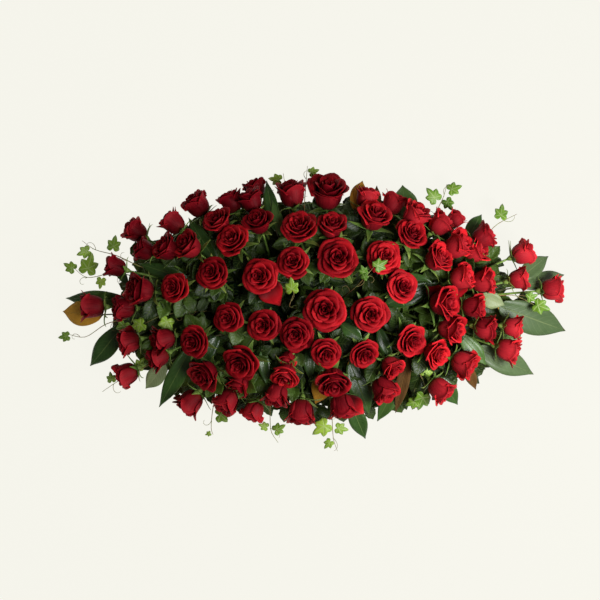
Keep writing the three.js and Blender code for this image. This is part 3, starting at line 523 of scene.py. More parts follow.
# Rose stems: green, round and thorned, each with the green hip and five long pointed sepals that held
# the bud. They come together where they are pushed into the foam.
STEM_SEED = 2000
STEM_RADIUS = 2.6
STEM_SUNK = 5
ROOT_DEEP = 24
ROOT_PROUD = 8
ROOT_RADIUS = 4.8
HIP_STEPS = ((-7, 2.6), (-3, 4.8), (1, 6.6), (5, 7.2))
SEPAL_LONG = 0.53
SEPAL_HALF = 0.105
SEPAL_THICK = 0.6
SEPALS = 5
HIP_LONG = 9
HIP_WIDE = 0.12
THORNS = 4
# A thorn's line: how far out and how far back each of its points is, and how thick it is there
THORN_STEPS = ((1.6, 0.0, 2.0), (4.0, 0.6, 1.0), (7.0, 2.4, 0.25))


def add_tube(heap, path, radii, sides, tone, finish=0):
    """Adds a closed round tube along a path"""
    path = np.asarray(path, float)
    radii = np.broadcast_to(radii, len(path))
    guide = np.eye(3)[np.argmin(np.abs(unit(path[-1] - path[0])))]
    first = np.cross(np.gradient(path, axis=0), guide)
    first /= np.maximum(np.linalg.norm(first, axis=1, keepdims=True), 1e-9)
    second = np.cross(np.gradient(path, axis=0), first)
    second /= np.maximum(np.linalg.norm(second, axis=1, keepdims=True), 1e-9)
    turn = np.arange(sides) * 2 * pi / sides
    round_way = np.cos(turn)[None, :, None] * first[:, None] + np.sin(turn)[None, :, None] * second[:, None]
    rings = path[:, None] + radii[:, None, None] * round_way
    number = np.arange(len(path) * sides).reshape(len(path), sides)
    after = np.roll(number, -1, axis=1)
    walls = np.stack((number[:-1], after[:-1], after[1:], number[1:]), -1).reshape(-1, 4)
    start, end = len(path) * sides, len(path) * sides + 1
    caps = [(start, b, a, a) for a, b in zip(number[0], after[0])]
    caps += [(end, a, b, b) for a, b in zip(number[-1], after[-1])]
    around, along = np.meshgrid(np.linspace(0, 1, sides), np.linspace(0, 1, len(path)))
    flat = np.concatenate((np.stack((around, along), -1).reshape(-1, 2), ((0.5, 0.0), (0.5, 1.0))))
    faces = np.concatenate((walls, np.array(caps)))
    points = np.concatenate((rings.reshape(-1, 3), path[:1], path[-1:]))
    add_skin(heap, points, faces, flat, tone, [finish] * len(faces))


def soft_curve(corners, steps):
    """A soft curve from the first point to the last, drawn towards the two between"""
    places, _ = curve_weights(np.linspace(0, 1, steps)[:, None])
    return sum(w * np.asarray(corner, float) for w, corner in zip(places, corners))


def stem_start(mouth, direction):
    """Where a stem leaves the thick end that holds it in the foam"""
    return mouth + direction * (ROOT_PROUD - STEM_SUNK)


def stem_line(rose, mouth, direction):
    """The line of a rose's stem from the foam to its hip"""
    middle, facing, opened = bloom_pose(rose)
    neck = middle - facing * (rose[2] * between(0.47, 0.38, opened) + 4)
    start = stem_start(mouth, direction)
    ahead = unit(neck - start)
    reach = np.linalg.norm(neck - start)
    lead = unit(ahead * 0.7 + facing * 0.3)
    return soft_curve((start, start + ahead * reach * 0.33, neck - lead * reach * 0.30, neck), 9)


stem_green, tree = new_finish("rose stem")
bark = speckle(tree, 70.0)
stem_colours = colour_steps(
    bark, (0.30, (0.100, 0.200, 0.030)), (0.62, (0.230, 0.370, 0.070)), (0.8, (0.24, 0.19, 0.055)),
)
set_surface(tree, stem_colours, (bark, 0.2, 0.40), 0.3)
give_relief(tree, speckle(tree, 300.0), 0.3)

sepal_green, tree = new_finish("sepal")
flat, _, along, tone = own_place(tree)
ribbing = speckle(tree, 1.0, 2.0, flat, (14.0, 1.5, 1.0))
pale = colour_steps(along, (0.0, (0.20, 0.34, 0.06)), (0.6, (0.30, 0.43, 0.09)), (1.0, (0.26, 0.30, 0.05)))
dull = colour_steps(along, (0.0, (0.06, 0.14, 0.022)), (1.0, (0.09, 0.17, 0.028)))
set_surface(tree, blended(varied(tone, ribbing, 0.7), dull, pale), (ribbing, 0.2, 0.4), 0.3)
give_relief(tree, ribbing, 0.6, 0.7)


def add_sepal(heap, middle, spin, across, foot, bearing, draw):
    """One narrow pointed sepal that stands away from the foot of the bloom"""
    long = SEPAL_LONG * draw(0.85, 1.30)
    drop = draw(-0.20, 0.12)
    handles = (
        (0.07, foot - 0.03), (0.07 + long * 0.42, foot + 0.02),
        (0.07 + long * 0.80, foot + 0.13 + drop * 0.4), (0.07 + long * 1.02, foot + 0.10 + drop),
    )
    u = np.linspace(0, 1, 7)[:, None]
    t = np.linspace(-1, 1, 5)[None, :]
    places, _ = curve_weights(u)
    out, up = (sum(w * handle[k] for w, handle in zip(places, handles)) for k in (0, 1))
    swell = 1 + 0.25 * np.sin(pi * np.clip(2.2 * u, 0, 1))
    half = SEPAL_HALF * np.clip(1.02 - u, 0.03, 1) ** 0.85 * swell
    twist = draw(-0.5, 0.5) * u
    x = out * cos(bearing) - t * half * sin(bearing)
    y = out * sin(bearing) + t * half * cos(bearing)
    z = up + 0.30 * half * np.abs(t) + twist * t * half
    grid = middle + across * np.stack((x, y, z), -1) @ spin.T
    add_sheet(heap, grid, SEPAL_THICK, draw(0.1, 0.9), 1, 1)


def add_root(heap, mouth, direction, radius, sides):
    """The thick end that is pushed into the foam"""
    path = [mouth + direction * step for step in (-ROOT_DEEP, 0, ROOT_PROUD, ROOT_PROUD + 4)]
    add_tube(heap, path, (radius, radius, radius * 0.9, radius * 0.5), sides, 0.4)


for number, (name, roses, mouth, direction) in enumerate(bunches):
    chance = np.random.default_rng(STEM_SEED + number)
    draw = chance.uniform
    heap = new_heap()
    add_root(heap, mouth, direction, ROOT_RADIUS, 9)
    for rose in roses:
        middle, facing, opened = bloom_pose(rose)
        across = rose[2]
        line = stem_line(rose, mouth, direction)
        add_tube(heap, line, np.linspace(STEM_RADIUS + 0.4, STEM_RADIUS - 0.2, len(line)), 8, 0.4)
        for _ in range(THORNS):
            place = chance.integers(1, len(line) - 1)
            ahead = unit(line[place] - line[place - 1])
            out = unit(np.cross(ahead, draw(-1, 1, 3)))
            spike = [line[place] + out * far - ahead * back for far, back, _ in THORN_STEPS]
            add_tube(heap, spike, [thick for _, _, thick in THORN_STEPS], 4, 0.4)
        steps = (*HIP_STEPS, (HIP_LONG, HIP_WIDE * across))
        hip = [line[-1] + facing * step for step, _ in steps]
        add_tube(heap, hip, [wide for _, wide in steps], 9, 0.7, 1)
        spin = turned_to(facing)
        foot = -between(0.45, 0.36, opened)
        first = draw(0, 1)
        for k in range(SEPALS):
            bearing = 2 * pi * (k + first) / SEPALS + draw(-0.2, 0.2)
            add_sepal(heap, middle, spin, across, foot, bearing, draw)
    make_piece(f"roses_{name}_stems", heap, [stem_green, sepal_green])

# Magnolia twigs: short woody twigs with thick leathery leaves, glossy dark green above with a pale
# midrib, and felted in bronze brown below; a few lie with the brown side up. They are pushed into the
# foam below the roses.
TWIG_SEED = 4000
# Each leaf: where it starts and ends seen from above, its width, how far it is lifted (or the heights of
# its two ends, if it hangs below the blooms), and its colour, painted light or painted sheen where that isn't
# green
MAGNOLIA_TWIGS = {
    "west": [
        ((-452, 40), (-598, 43), 42, 0), ((-511, -14), (-605, -7), 60, 14, "brown"),
        ((-463, -38), (-539, -137), 52, 0),
    ],
    "south_west": [
        ((-297, -85), (-373, -235), 44, 0), ((-361, -133), (-404, -190), 43, 10, "pale"),
        ((-190, -88), (-238, -196), 52, (48, 12)),
    ],
    "north_west": [
        ((-452, 57), (-487, 121), 24, 34), ((-297, 97), (-414, 133), 36, 0),
        ((-214, 121), (-286, 228), 38, 20), ((-185, 88), (-225, 190), 52, (48, 12)),
    ],
    "north": [
        ((-94, 187), (-117, 306), 34, 20), ((-75, 168), (-103, 258), 26, 30, "lit"),
        ((-95, 88), (-125, 200), 54, (44, 10)),
    ],
    "north_middle": [
        ((86, 240), (103, 308), 42, 0, "brown"), ((150, 240), (146, 294), 20, 0, "bronze"),
        ((44, 88), (30, 205), 54, (44, 10)),
    ],
    "north_east": [
        ((222, 215), (208, 296), 58, 0, "lit"), ((364, 164), (397, 226), 38, 0),
        ((120, 88), (128, 204), 54, (44, 10)), ((205, 86), (262, 178), 52, (48, 12)),
    ],
    "east": [
        ((470, 90), (542, 147), 44, 0, "grey"), ((500, 45), (601, 74), 42, 0, "grey"),
        ((437, 10), (601, -52), 76, 0, "grey"),
    ],
    "east_lower": [
        ((385, -95), (523, -156), 62, 0, "grey"), ((395, 33), (449, 10), 40, 30, "pale"),
        ((347, -62), (406, -133), 40, 16, "lit"), ((360, -130), (383, -192), 28, 0, "bronze"),
    ],
    "south_east": [
        ((295, -165), (340, -228), 42, 0), ((276, -165), (231, -240), 38, 0),
        ((226, -109), (191, -247), 32, 12, "bronze"), ((200, -180), (148, -268), 38, 0),
        ((205, -86), (258, -182), 52, (48, 12)),
    ],
    "south": [
        ((82, -225), (120, -310), 42, 0), ((82, -126), (129, -251), 54, 0),
        ((22, -146), (-8, -223), 50, 0, "brown"), ((112, -88), (150, -196), 52, (44, 10)),
        ((14, -88), (6, -204), 54, (44, 10)),
    ],
    "inner_west": [
        ((-226, -69), (-262, -138), 36, 24), ((-127, -97), (-115, -180), 30, 24),
        ((-80, -88), (-110, -200), 54, (44, 10)),
    ],
    "inner_middle": [((-18, -96), (-13, -168), 30, 6), ((62, -36), (113, -74), 36, 14)],
    "inner_east": [
        ((141, -50), (172, -128), 30, 24), ((177, -14), (302, 40), 50, 10), ((226, 100), (300, 60), 34, 10),
    ],
}
# The bends that clear a leaf, a sprig or a trail of its neighbours: sideways and up. The solids have the
# first bend that is clear, and the pieces here take the one that their solid has.
BENDS = (
    (0, 0), (9, 0), (-9, 0), (0, 9), (0, -9), (18, 0), (-18, 0), (12, 10), (-12, 10), (12, -12), (-12, -12),
    (26, 0), (-26, 0), (0, -20), (20, -20), (-20, -20),
)
LEAF_HALF_LONG = 612
LEAF_HALF_WIDE = 350
LEAF_RIM = 16
LEAF_CROWN = 176
TWIG_RADIUS = 2.2
BLADE_SUNK = 6
MAGNOLIA_THICK = 0.7
MAGNOLIA_RIB = 0.9
ELBOW_OUT = 9
BLADE_LINES = np.array((-1, -0.55, 0, 0.55, 1))
# A leaf's pairs of side veins and how far they slant back; then each side that a leaf can show: its dark,
# light and vein colours, its roughness and shine, how sharp its veins are and how deep, its sheen,
# and how plain its side veins are
MAGNOLIA_VEINS = (11.0, 0.42)
MAGNOLIA_SIDES = (
    ("magnolia leaf", (0.014, 0.046, 0.007), (0.064, 0.145, 0.027), (0.18, 0.26, 0.07),
     0.30, 0.6, 9.0, 0.6, 0.0, 0.18),
    ("magnolia felt", (0.34, 0.130, 0.010), (0.72, 0.37, 0.035), (0.70, 0.42, 0.07),
     0.75, 0.2, 8.0, 0.8, 0.10, 0.3),
    ("pale magnolia leaf", (0.22, 0.28, 0.12), (0.34, 0.41, 0.20), (0.40, 0.46, 0.24),
     0.45, 0.4, 9.0, 0.6, 0.0, 0.6),
    # A paler grey green for leaves at the east end, where the lamp is: painted sheen
    ("magnolia leaf with painted sheen", (0.050, 0.095, 0.030), (0.104, 0.166, 0.060), (0.21, 0.27, 0.11),
     0.48, 0.45, 9.0, 0.8, 0.0, 0.22),
    ("dark magnolia felt", (0.075, 0.036, 0.008), (0.20, 0.088, 0.016), (0.26, 0.13, 0.03),
     0.75, 0.2, 8.0, 0.8, 0.05, 0.3),
    # A lighter, yellower green for leaves that lie in the light: painted light
    ("magnolia leaf with painted light", (0.055, 0.130, 0.022), (0.110, 0.210, 0.045), (0.20, 0.30, 0.09),
     0.40, 0.5, 9.0, 0.6, 0.0, 0.25),
)
# Which of these sides a leaf of each colour, painted light or painted sheen has above and below
LEAF_SIDES = {
    "green": (0, 1), "brown": (1, 0), "pale": (2, 2), "grey": (3, 1), "bronze": (4, 0), "lit": (5, 1),
}


def vein_pattern(tree, across, along, pairs, slant, sharp, faint):
    """From 0 to 1: 1 on a leaf's midrib, and less on its pairs of slanting side veins and its edge"""
    off_rib = sums("ABSOLUTE", sums("SUBTRACT", across, 0.5))
    back = sums("MULTIPLY", off_rib, slant)
    rows = sums("MULTIPLY", sums("SUBTRACT", along, back), pairs)
    to_vein = sums("PINGPONG", rows, 0.5)
    side = sums("SUBTRACT", 1.0, sums("MULTIPLY", to_vein, sharp))
    side = sums("MULTIPLY", sums("MAXIMUM", side, 0.0), faint)
    rib = sums("MAXIMUM", sums("SUBTRACT", 1.0, sums("MULTIPLY", off_rib, 34.0)), 0.0)
    margin = sums("MULTIPLY", sums("MAXIMUM", sums("SUBTRACT", off_rib, 0.46), 0.0), 16.0)
    return sums("MAXIMUM", sums("MAXIMUM", rib, side), margin)


def leaf_finish(veining, name, dark, light, vein, roughness, shine, sharp, relief, sheen, faint):
    """A leaf's finish: dark to light by the leaf's own tone and a cloudy pattern, with paler veins"""
    material, tree = new_finish(name)
    _, across, along, tone = own_place(tree)
    veins = vein_pattern(tree, across, along, *veining, sharp, faint)
    cloudy = speckle(tree, 45.0)
    body = blended(varied(tone, cloudy, 0.6), dark, light)
    colour = blended(sums("MULTIPLY", veins, 0.7), body, vein)
    set_surface(tree, colour, (cloudy, 0.20, roughness - 0.1), shine)
    set_shader(tree, {"Sheen Weight": sheen})
    sunken = sums("MULTIPLY", veins, -1.0)
    give_relief(tree, sums("MULTIPLY_ADD", speckle(tree, 260.0, 2.0), 0.25, sunken), relief, 0.8)
    return material


magnolia_finishes = [leaf_finish(MAGNOLIA_VEINS, *side) for side in MAGNOLIA_SIDES]
twig_bark, tree = new_finish("twig bark")
ridges = speckle(tree, 120.0, 5.0)
bark_colours = colour_steps(ridges, (0.3, (0.035, 0.040, 0.014)), (0.7, (0.105, 0.090, 0.035)))
set_surface(tree, bark_colours, (ridges, 0.3, 0.55))
give_relief(tree, ridges, 0.6)


def hangs(leaf):
    """Does a magnolia leaf hang below the blooms?"""
    return isinstance(leaf[3], tuple)


def leaf_height(x, y):
    """How high the leaves lie at a place seen from above"""
    return dome_height(x, y, LEAF_HALF_LONG, LEAF_HALF_WIDE, LEAF_RIM, LEAF_CROWN)


def leaf_end(leaf, end):
    """Where a magnolia leaf starts (0) or ends (1)"""
    x, y = leaf[end]
    return np.array((x, y, leaf[3][end] if hangs(leaf) else leaf_height(x, y) + leaf[3]), float)


def sideways_of(run):
    """The level direction to the left of a run"""
    return unit(np.cross(UP, run))


def bent(bend, across):
    """The shift that a bend makes"""
    return across * bend[0] + UP * bend[1]


def blade_grid(base, tip, wide, rows, bow, lift, wave=0.0, teeth=0.0, full=0.75, tilt=0.0, curl=0.0):
    """A leaf blade: round at its foot, pointed at its tip, bowed along, and folded up from the midrib"""
    run = tip - base
    long = np.linalg.norm(run)
    run = run / long
    side = unit(np.cross(UP, run) + UP * tilt)
    side = unit(side - run * np.dot(side, run))
    face = np.cross(run, side)
    u = np.linspace(0, 1, rows)[:, None]
    t = BLADE_LINES[None, :]
    swell = np.maximum(np.sin(pi * u ** 0.9), 0.0) ** (full - 0.15 + 0.55 * u)
    half = np.maximum(wide / 2 * swell, 0.35)
    saw = 1 - teeth * (np.arange(rows)[:, None] % 2) * (np.abs(t) > 0.9)
    rise = bow * long * np.sin(pi * u) + lift * half * np.abs(t) ** 1.4 - curl * long * u ** 3
    rise = rise + wave * np.sin(9.0 * u + 1.4 * np.sign(t)) * t ** 2 - 0.25 * (t == 0)
    spread = t * half * saw
    return base + u[..., None] * long * run + spread[..., None] * side + rise[..., None] * face


def in_solid(point, node, near=0.5):
    """Is there a corner of the node's own solid near a point?"""
    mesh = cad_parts[node].data
    corners = np.zeros(len(mesh.vertices) * 3, np.float32)
    mesh.vertices.foreach_get("co", corners)
    return np.linalg.norm(corners.reshape(-1, 3) / MM - point, axis=1).min() < near


def as_in_solid(tries, tip_of, node, near=0.5):
    """The first of the tries whose tip is at a corner of the node's own solid, or else the first"""
    for choice in tries:
        if in_solid(tip_of(choice), node, near):
            return choice
    return tries[0]


magnolia_lines = []
for number, (name, leaves) in enumerate(MAGNOLIA_TWIGS.items()):
    draw = np.random.default_rng(TWIG_SEED + number).uniform
    blades = new_heap()
    twigs = new_heap()
    upper = [leaf_end(leaf, 0) for leaf in leaves if not hangs(leaf)]
    mouth, direction = root_towards(sum(upper) / len(upper))
    start = stem_start(mouth, direction)
    add_root(twigs, mouth, direction, ROOT_RADIUS, 8)
    for leaf in leaves:
        base = leaf_end(leaf, 0)
        tip = leaf_end(leaf, 1)
        across = sideways_of(tip - base)
        bend = as_in_solid(BENDS, lambda bend: tip + bent(bend, across), f"magnolia_{name}")
        shift = bent(bend, across)
        foot = base + shift
        if hangs(leaf):
            aside = copysign(FOAM_HALF_WIDE + ELBOW_OUT, base[1])
            elbow = np.array(((start[0] + base[0]) / 2, aside, start[2])) + shift
            corners = (start, between(start, elbow, 0.8), between(elbow, foot, 0.3), foot)
        else:
            corners = (start, between(start, foot, 0.33), between(start, foot, 0.66), foot)
        line = soft_curve(corners, 7)
        add_tube(twigs, line, np.linspace(TWIG_RADIUS + 0.5, TWIG_RADIUS - 0.6, len(line)), 7, 0.5)
        inward = unit(line[-1] - line[-2])
        above, below = LEAF_SIDES[leaf[4] if len(leaf) > 4 else "green"]
        grid = blade_grid(
            foot - inward * BLADE_SUNK, tip + shift, leaf[2], rows=15, bow=0.06, lift=0.22, wave=1.5,
            tilt=draw(-0.12, 0.12),
        )
        add_sheet(blades, grid, MAGNOLIA_THICK, draw(0.1, 0.9), above, below, MAGNOLIA_RIB)
        if not hangs(leaf):
            magnolia_lines.append((foot, tip + shift, leaf[2]))
    make_piece(f"magnolia_{name}_leaves", blades, magnolia_finishes, [f"magnolia_{name}"])
    make_piece(f"magnolia_{name}_twig", twigs, [twig_bark])

# Rose leaves: dark green and saw-edged, three on a thin stalk, growing from the stems below the blooms.
# Each stem's largest leaf is turned the way that it is bent clear of its neighbours in the solids.
ROSE_LEAF_SEED = 3000
LEAF_TURNS = (0, 180, 35, 145, -35, -145, 70, 110)
ROSE_LEAF_LONG = 74
ROSE_LEAF_WIDE = 44
ROSE_LEAF_BACK = 20
ROSE_LEAF_THICK = 0.6
ROSE_LEAF_RIB = 0.5
LEAFY_LEAN = 65
SMALL_LEAF_PLACES = (0.45, 0.80)
SMALL_LEAF_LONG = (54, 76)
SMALL_LEAF_WIDE = 0.56
ROSE_LEAF_VEINS = (7.0, 0.55)
ROSE_LEAF_SIDES = (
    ("rose leaf", (0.007, 0.020, 0.003), (0.072, 0.136, 0.016), (0.13, 0.19, 0.04),
     0.42, 0.35, 7.0, 0.7, 0.0, 0.6),
    ("rose leaf back", (0.018, 0.044, 0.010), (0.075, 0.130, 0.032), (0.12, 0.17, 0.05),
     0.65, 0.20, 7.0, 0.7, 0.0, 0.6),
)

rose_leaf_finishes = [leaf_finish(ROSE_LEAF_VEINS, *side) for side in ROSE_LEAF_SIDES]


def inside(points, margin):
    """Is every point inside the solids' box by a margin?"""
    low = np.array(cad_low) / MM + margin
    high = np.array(cad_high) / MM - margin
    return bool((points >= low).all() and (points <= high).all())


def hides_magnolia(base, tip):
    """Would a leaflet from base to tip lie right over a magnolia leaf?"""
    middle = between(base, tip, 0.6)
    for foot, end, wide in magnolia_lines:
        run = (end - foot)[:2]
        share = min(max(np.dot(middle[:2] - foot[:2], run) / np.dot(run, run), 0.0), 1.0)
        beside = between(foot, end, share)
        if middle[2] > beside[2] and np.linalg.norm(middle[:2] - beside[:2]) < wide / 2 + 5:
            return True
    return False


def add_leaflet(heap, base, tip, wide, tone, tilt, draw, rows=11):
    """One saw-edged leaflet, left out where it would stand out of the spray or hide a magnolia leaf"""
    if hides_magnolia(base, tip):
        return
    bow = draw(0.02, 0.10)
    lift = draw(0.1, 0.4)
    curl = draw(0.0, 0.12)
    grid = blade_grid(
        base, tip, wide, rows, bow, lift, wave=1.0, teeth=0.12, full=0.62, tilt=tilt, curl=curl,
    )
    if inside(grid.reshape(-1, 3), 1.0):
        add_sheet(heap, grid, ROSE_LEAF_THICK, tone, 0, 1, ROSE_LEAF_RIB)


def add_rose_leaf(heap, foot, outward, long, wide, draw, rows=11):
    """A thin stalk, a leaflet at its end and a pair beside it"""
    tip = foot + outward * long
    stalk = foot + outward * long * 0.30
    tone = 1.1 * draw(0.0, 1.0) ** 1.3
    add_tube(heap, [foot, foot + outward * long * 0.15 + UP, stalk + UP * 1.2], (1.1, 0.9, 0.7), 4, 0.5)
    add_leaflet(heap, stalk - outward * 3, tip, wide, tone, draw(-0.35, 0.35), draw, rows)
    across = sideways_of(outward)
    start = foot + outward * long * 0.26
    for way in (-1, 1):
        aside = unit(across * way * draw(0.75, 1.0) + outward * draw(0.45, 0.75))
        end = start + aside * long * draw(0.52, 0.66) + UP * draw(-7, 5)
        shade = tone + draw(-0.2, 0.2)
        add_leaflet(heap, start, end, wide * 0.72, shade, draw(-0.4, 0.4), draw, rows)


def turned(v, axis, angle):
    """A vector turned about an axis"""
    cosine = cos(angle)
    return v * cosine + np.cross(axis, v) * sin(angle) + axis * np.dot(axis, v) * (1 - cosine)


for number, (name, roses, mouth, direction) in enumerate(bunches):
    chance = np.random.default_rng(ROSE_LEAF_SEED + number)
    draw = chance.uniform
    heap = new_heap()
    for rose in roses:
        middle, facing, opened = bloom_pose(rose)
        line = stem_line(rose, mouth, direction)
        if rose[3] <= LEAFY_LEAN:
            below = middle - facing * 0.42 * rose[2]
            ahead = unit(below - mouth)
            foot = below - ahead * ROSE_LEAF_BACK
            flat = sideways_of(ahead)

            def way_out(turn):
                return unit(turned(flat, ahead, radians(turn)) + ahead * 0.35)

            def tip_of(turn):
                return foot + way_out(turn) * ROSE_LEAF_LONG

            turn = as_in_solid(LEAF_TURNS, tip_of, f"roses_{name}")
            add_rose_leaf(heap, foot, way_out(turn), ROSE_LEAF_LONG, ROSE_LEAF_WIDE, draw)
        for share in SMALL_LEAF_PLACES:
            place = share * (len(line) - 1)
            k = int(place)
            foot = between(line[k], line[k + 1], place - k)
            ahead = unit(line[k + 1] - line[k])
            flat = unit(np.cross(UP, ahead) + 1e-6)
            angle = chance.choice((0.0, pi)) + draw(-0.9, 0.9)
            outward = unit(turned(flat, ahead, angle) + ahead * draw(0.1, 0.6))
            long = draw(*SMALL_LEAF_LONG)
            if inside(np.array([foot + outward * long]), 6.0):
                add_rose_leaf(heap, foot, outward, long, long * SMALL_LEAF_WIDE, draw)
    make_piece(f"roses_{name}_leaves", heap, rose_leaf_finishes)

# Ivy trails: thin reddish vines with small five-lobed leaves, light green with paler veins. The trails
# go into the foam, and the longer ones hang out past the rim.
IVY_SEED = 5000
# Each trail: the vine's points seen from above, its leaves (how far along the vine, how large, which way in
# degrees), and how far it is lifted
IVY_TRAILS = {
    "west": ([(-440, -30), (-499, -43), (-549, -81), (-605, -66)], [(0.84, 30, 190), (0.04, 40, 250)]),
    "west_lower": ([(-410, -120), (-480, -156), (-520, -183)], [(0.7, 28, 100), (0.2, 34, 60)]),
    "north_west": ([(-400, 120), (-463, 152), (-518, 164), (-549, 187)], [(0.75, 36, 200), (0.45, 40, 80)]),
    "west_upper": (
        [(-430, 70), (-487, 78), (-549, 62), (-584, 92)], [(0.7, 54, 75), (0.88, 34, 150), (0.45, 30, 260)],
    ),
    "south_west": (
        [(-225, -170), (-245, -235), (-250, -287), (-245, -301)], [(0.62, 46, 5), (0.95, 16, 200)],
    ),
    "south": ([(-108, -170), (-108, -228), (-108, -292), (-89, -320)], [(0.80, 34, 30), (0.72, 26, 160)]),
    "south_middle": (
        [(30, -190), (39, -239), (42, -311), (53, -341)], [(0.45, 50, 215), (0.72, 28, 230), (0.55, 34, 350)],
    ),
    "north": ([(-60, 220), (-70, 280), (-77, 325)], [(0.8, 34, 170)]),
    "north_middle": ([(-10, 230), (-4, 305), (-1, 341)], [(0.78, 28, 20)]),
    "north_east": (
        [(262, 180), (290, 235), (308, 270), (316, 299)], [(0.5, 44, 130), (0.78, 38, 20), (0.65, 34, 300)],
    ),
    "east_upper": ([(370, 120), (425, 199), (485, 228)], [(0.65, 40, 80)]),
    "crown": ([(106, 62), (124, 84), (138, 100)], [(0.8, 38, 30), (0.35, 26, 110), (0.1, 22, 60)], 88),
    "crown_west": ([(-64, 4), (-56, 24), (-50, 40)], [(0.7, 40, 95)], 52),
    "inner_west": (
        [(-330, -8), (-372, -18), (-404, -34)], [(0.2, 44, 250), (0.55, 50, 60), (0.9, 42, 200)], 22,
    ),
    "east": ([(392, 26), (470, 36), (520, 10)], [(0.92, 44, 340), (0.8, 30, 20)], 34),
    "south_east": (
        [(240, -136), (264, -188), (240, -236)], [(0.55, 46, 250), (0.8, 34, 200), (0.3, 34, 60)], 14,
    ),
}
# The outline of one half of a leaf: the angle from its tip in degrees and how far out, as a share of its
# size, at each lobe and each hollow between lobes
IVY_OUTLINE = ((0, 0.72), (26, 0.38), (50, 0.52), (82, 0.33), (112, 0.42), (150, 0.33), (180, 0.10))
IVY_STEPS = 3
IVY_RINGS = 4
IVY_THICK = 0.6
VINE_LOW = 12
VINE_RADIUS = 1.3
VINE_NEAR = 3.0
TENDRIL_PLACES = (0.35, 0.6, 0.85)
TENDRIL_STEPS = 14
TENDRIL_STEP = 2.6
LOBE_WAYS = (0, 50, -50, 112, -112)

ivy_green, tree = new_finish("ivy leaf")
flat, _, _, tone = own_place(tree)
from_middle = add_node(tree, "VectorMath", {0: flat, 1: (0.5, 0.5, 0.0)}, operation="SUBTRACT").outputs[0]


def reach_towards(way):
    """How far a point is from the leaf's middle in one direction"""
    inputs = {0: from_middle, 1: way}
    return add_node(tree, "VectorMath", inputs, operation="DOT_PRODUCT").outputs["Value"]


veins = None
for degrees in LOBE_WAYS:
    lobe = radians(degrees)
    off = reach_towards((cos(lobe), -sin(lobe), 0.0))
    ahead = reach_towards((sin(lobe), cos(lobe), 0.0))
    thin = sums("SUBTRACT", 1.0, sums("MULTIPLY", sums("ABSOLUTE", off), 34.0))
    line = sums("MULTIPLY", sums("MAXIMUM", thin, 0.0), sums("GREATER_THAN", ahead, 0.0))
    veins = line if veins is None else sums("MAXIMUM", veins, line)
cloudy = speckle(tree, 90.0)
body = blended(varied(tone, cloudy, 0.8), (0.105, 0.250, 0.018), (0.42, 0.63, 0.055))
veined = blended(sums("MULTIPLY", veins, 0.6), body, (0.52, 0.64, 0.26))
set_surface(tree, veined, (cloudy, 0.2, 0.38))
give_relief(tree, sums("MULTIPLY", veins, -1.0), 0.5, 0.7)

vine_bark, tree = new_finish("vine bark")
ridges = speckle(tree, 60.0, 4.0)
vine_colours = colour_steps(ridges, (0.35, (0.28, 0.32, 0.09)), (0.65, (0.28, 0.13, 0.05)))
set_surface(tree, vine_colours, (ridges, 0.3, 0.45))


def add_ivy_leaf(heap, foot, size, bearing, draw, tone):
    """A five-lobed ivy leaf whose stalk end is at foot"""
    turn = radians(bearing)
    ahead = np.array((cos(turn), sin(turn), 0.0))
    aside = np.array((-sin(turn), cos(turn), 0.0))
    middle = foot + ahead * 0.45 * size + UP * 4
    half = []
    for (angle, out), (next_angle, next_out) in zip(IVY_OUTLINE, IVY_OUTLINE[1:]):
        for step in np.arange(IVY_STEPS) / IVY_STEPS:
            half.append((between(angle, next_angle, step), between(out, next_out, step)))
    half.append(IVY_OUTLINE[-1])
    around = np.array(half + [(-angle, out) for angle, out in half[-2:0:-1]])
    count = len(around)
    angle = np.radians(around[:, 0])
    out = around[:, 1] * (np.arange(1, IVY_RINGS + 1) / IVY_RINGS)[:, None]
    x = (out * np.cos(angle)).ravel()
    y = (out * np.sin(angle)).ravel()
    dip, roll = draw(-0.6, 0.6, 2)
    z = dip * x + roll * y - 0.35 * (x * x + y * y) + 0.04 * np.cos(5 * np.arctan2(y, x)) * np.hypot(x, y)
    leaf = middle + size * (x[:, None] * ahead + y[:, None] * aside + z[:, None] * UP)
    top = np.concatenate(([middle], leaf))
    number = 1 + np.arange(IVY_RINGS * count).reshape(IVY_RINGS, count)
    beside = np.roll(number, -1, axis=1)
    fan = np.stack((np.zeros(count, int), number[0], beside[0], beside[0]), -1)
    bands = np.stack((number[:-1], number[1:], beside[1:], beside[:-1]), -1).reshape(-1, 4)
    low = len(top)
    fan_below = np.stack((fan[:, 0], beside[0], number[0], number[0]), -1) + low
    edge = np.stack((number[-1], number[-1] + low, beside[-1] + low, beside[-1]), -1)
    faces = np.concatenate((fan, bands, fan_below, bands[:, ::-1] + low, edge))
    flat = np.concatenate(([(0.5, 0.5)], np.stack((0.5 + 0.8 * y, 0.5 + 0.8 * x), -1)))
    skins = np.concatenate((top, top - UP * IVY_THICK))
    add_skin(heap, skins, faces, np.concatenate((flat, flat)), tone, [0] * len(faces))


def point_along(path, share):
    """The point a share of the way along a path"""
    runs = np.linalg.norm(np.diff(path, axis=0), axis=1)
    left = share * runs.sum()
    k = 0
    while k + 1 < len(runs) and left > runs[k]:
        left -= runs[k]
        k += 1
    return between(path[k], path[k + 1], left / runs[k])


def add_tendril(heap, start, ahead, chance):
    """A thread that leaves the vine sideways and curls up at its end"""
    way = atan2(ahead[1], ahead[0]) + chance.choice((-1, 1)) * chance.uniform(0.4, 1.0)
    curl = chance.choice((-1, 1)) * chance.uniform(0.10, 0.26)
    path = [start]
    for step in range(TENDRIL_STEPS):
        way += curl * (0.3 + step / 7)
        run = np.array((cos(way), sin(way), chance.uniform(-0.2, 0.3)))
        path.append(path[-1] + run * TENDRIL_STEP)
    if inside(np.array(path), 1.0):
        add_tube(heap, path, np.linspace(0.7, 0.35, len(path)), 4, 0.8)


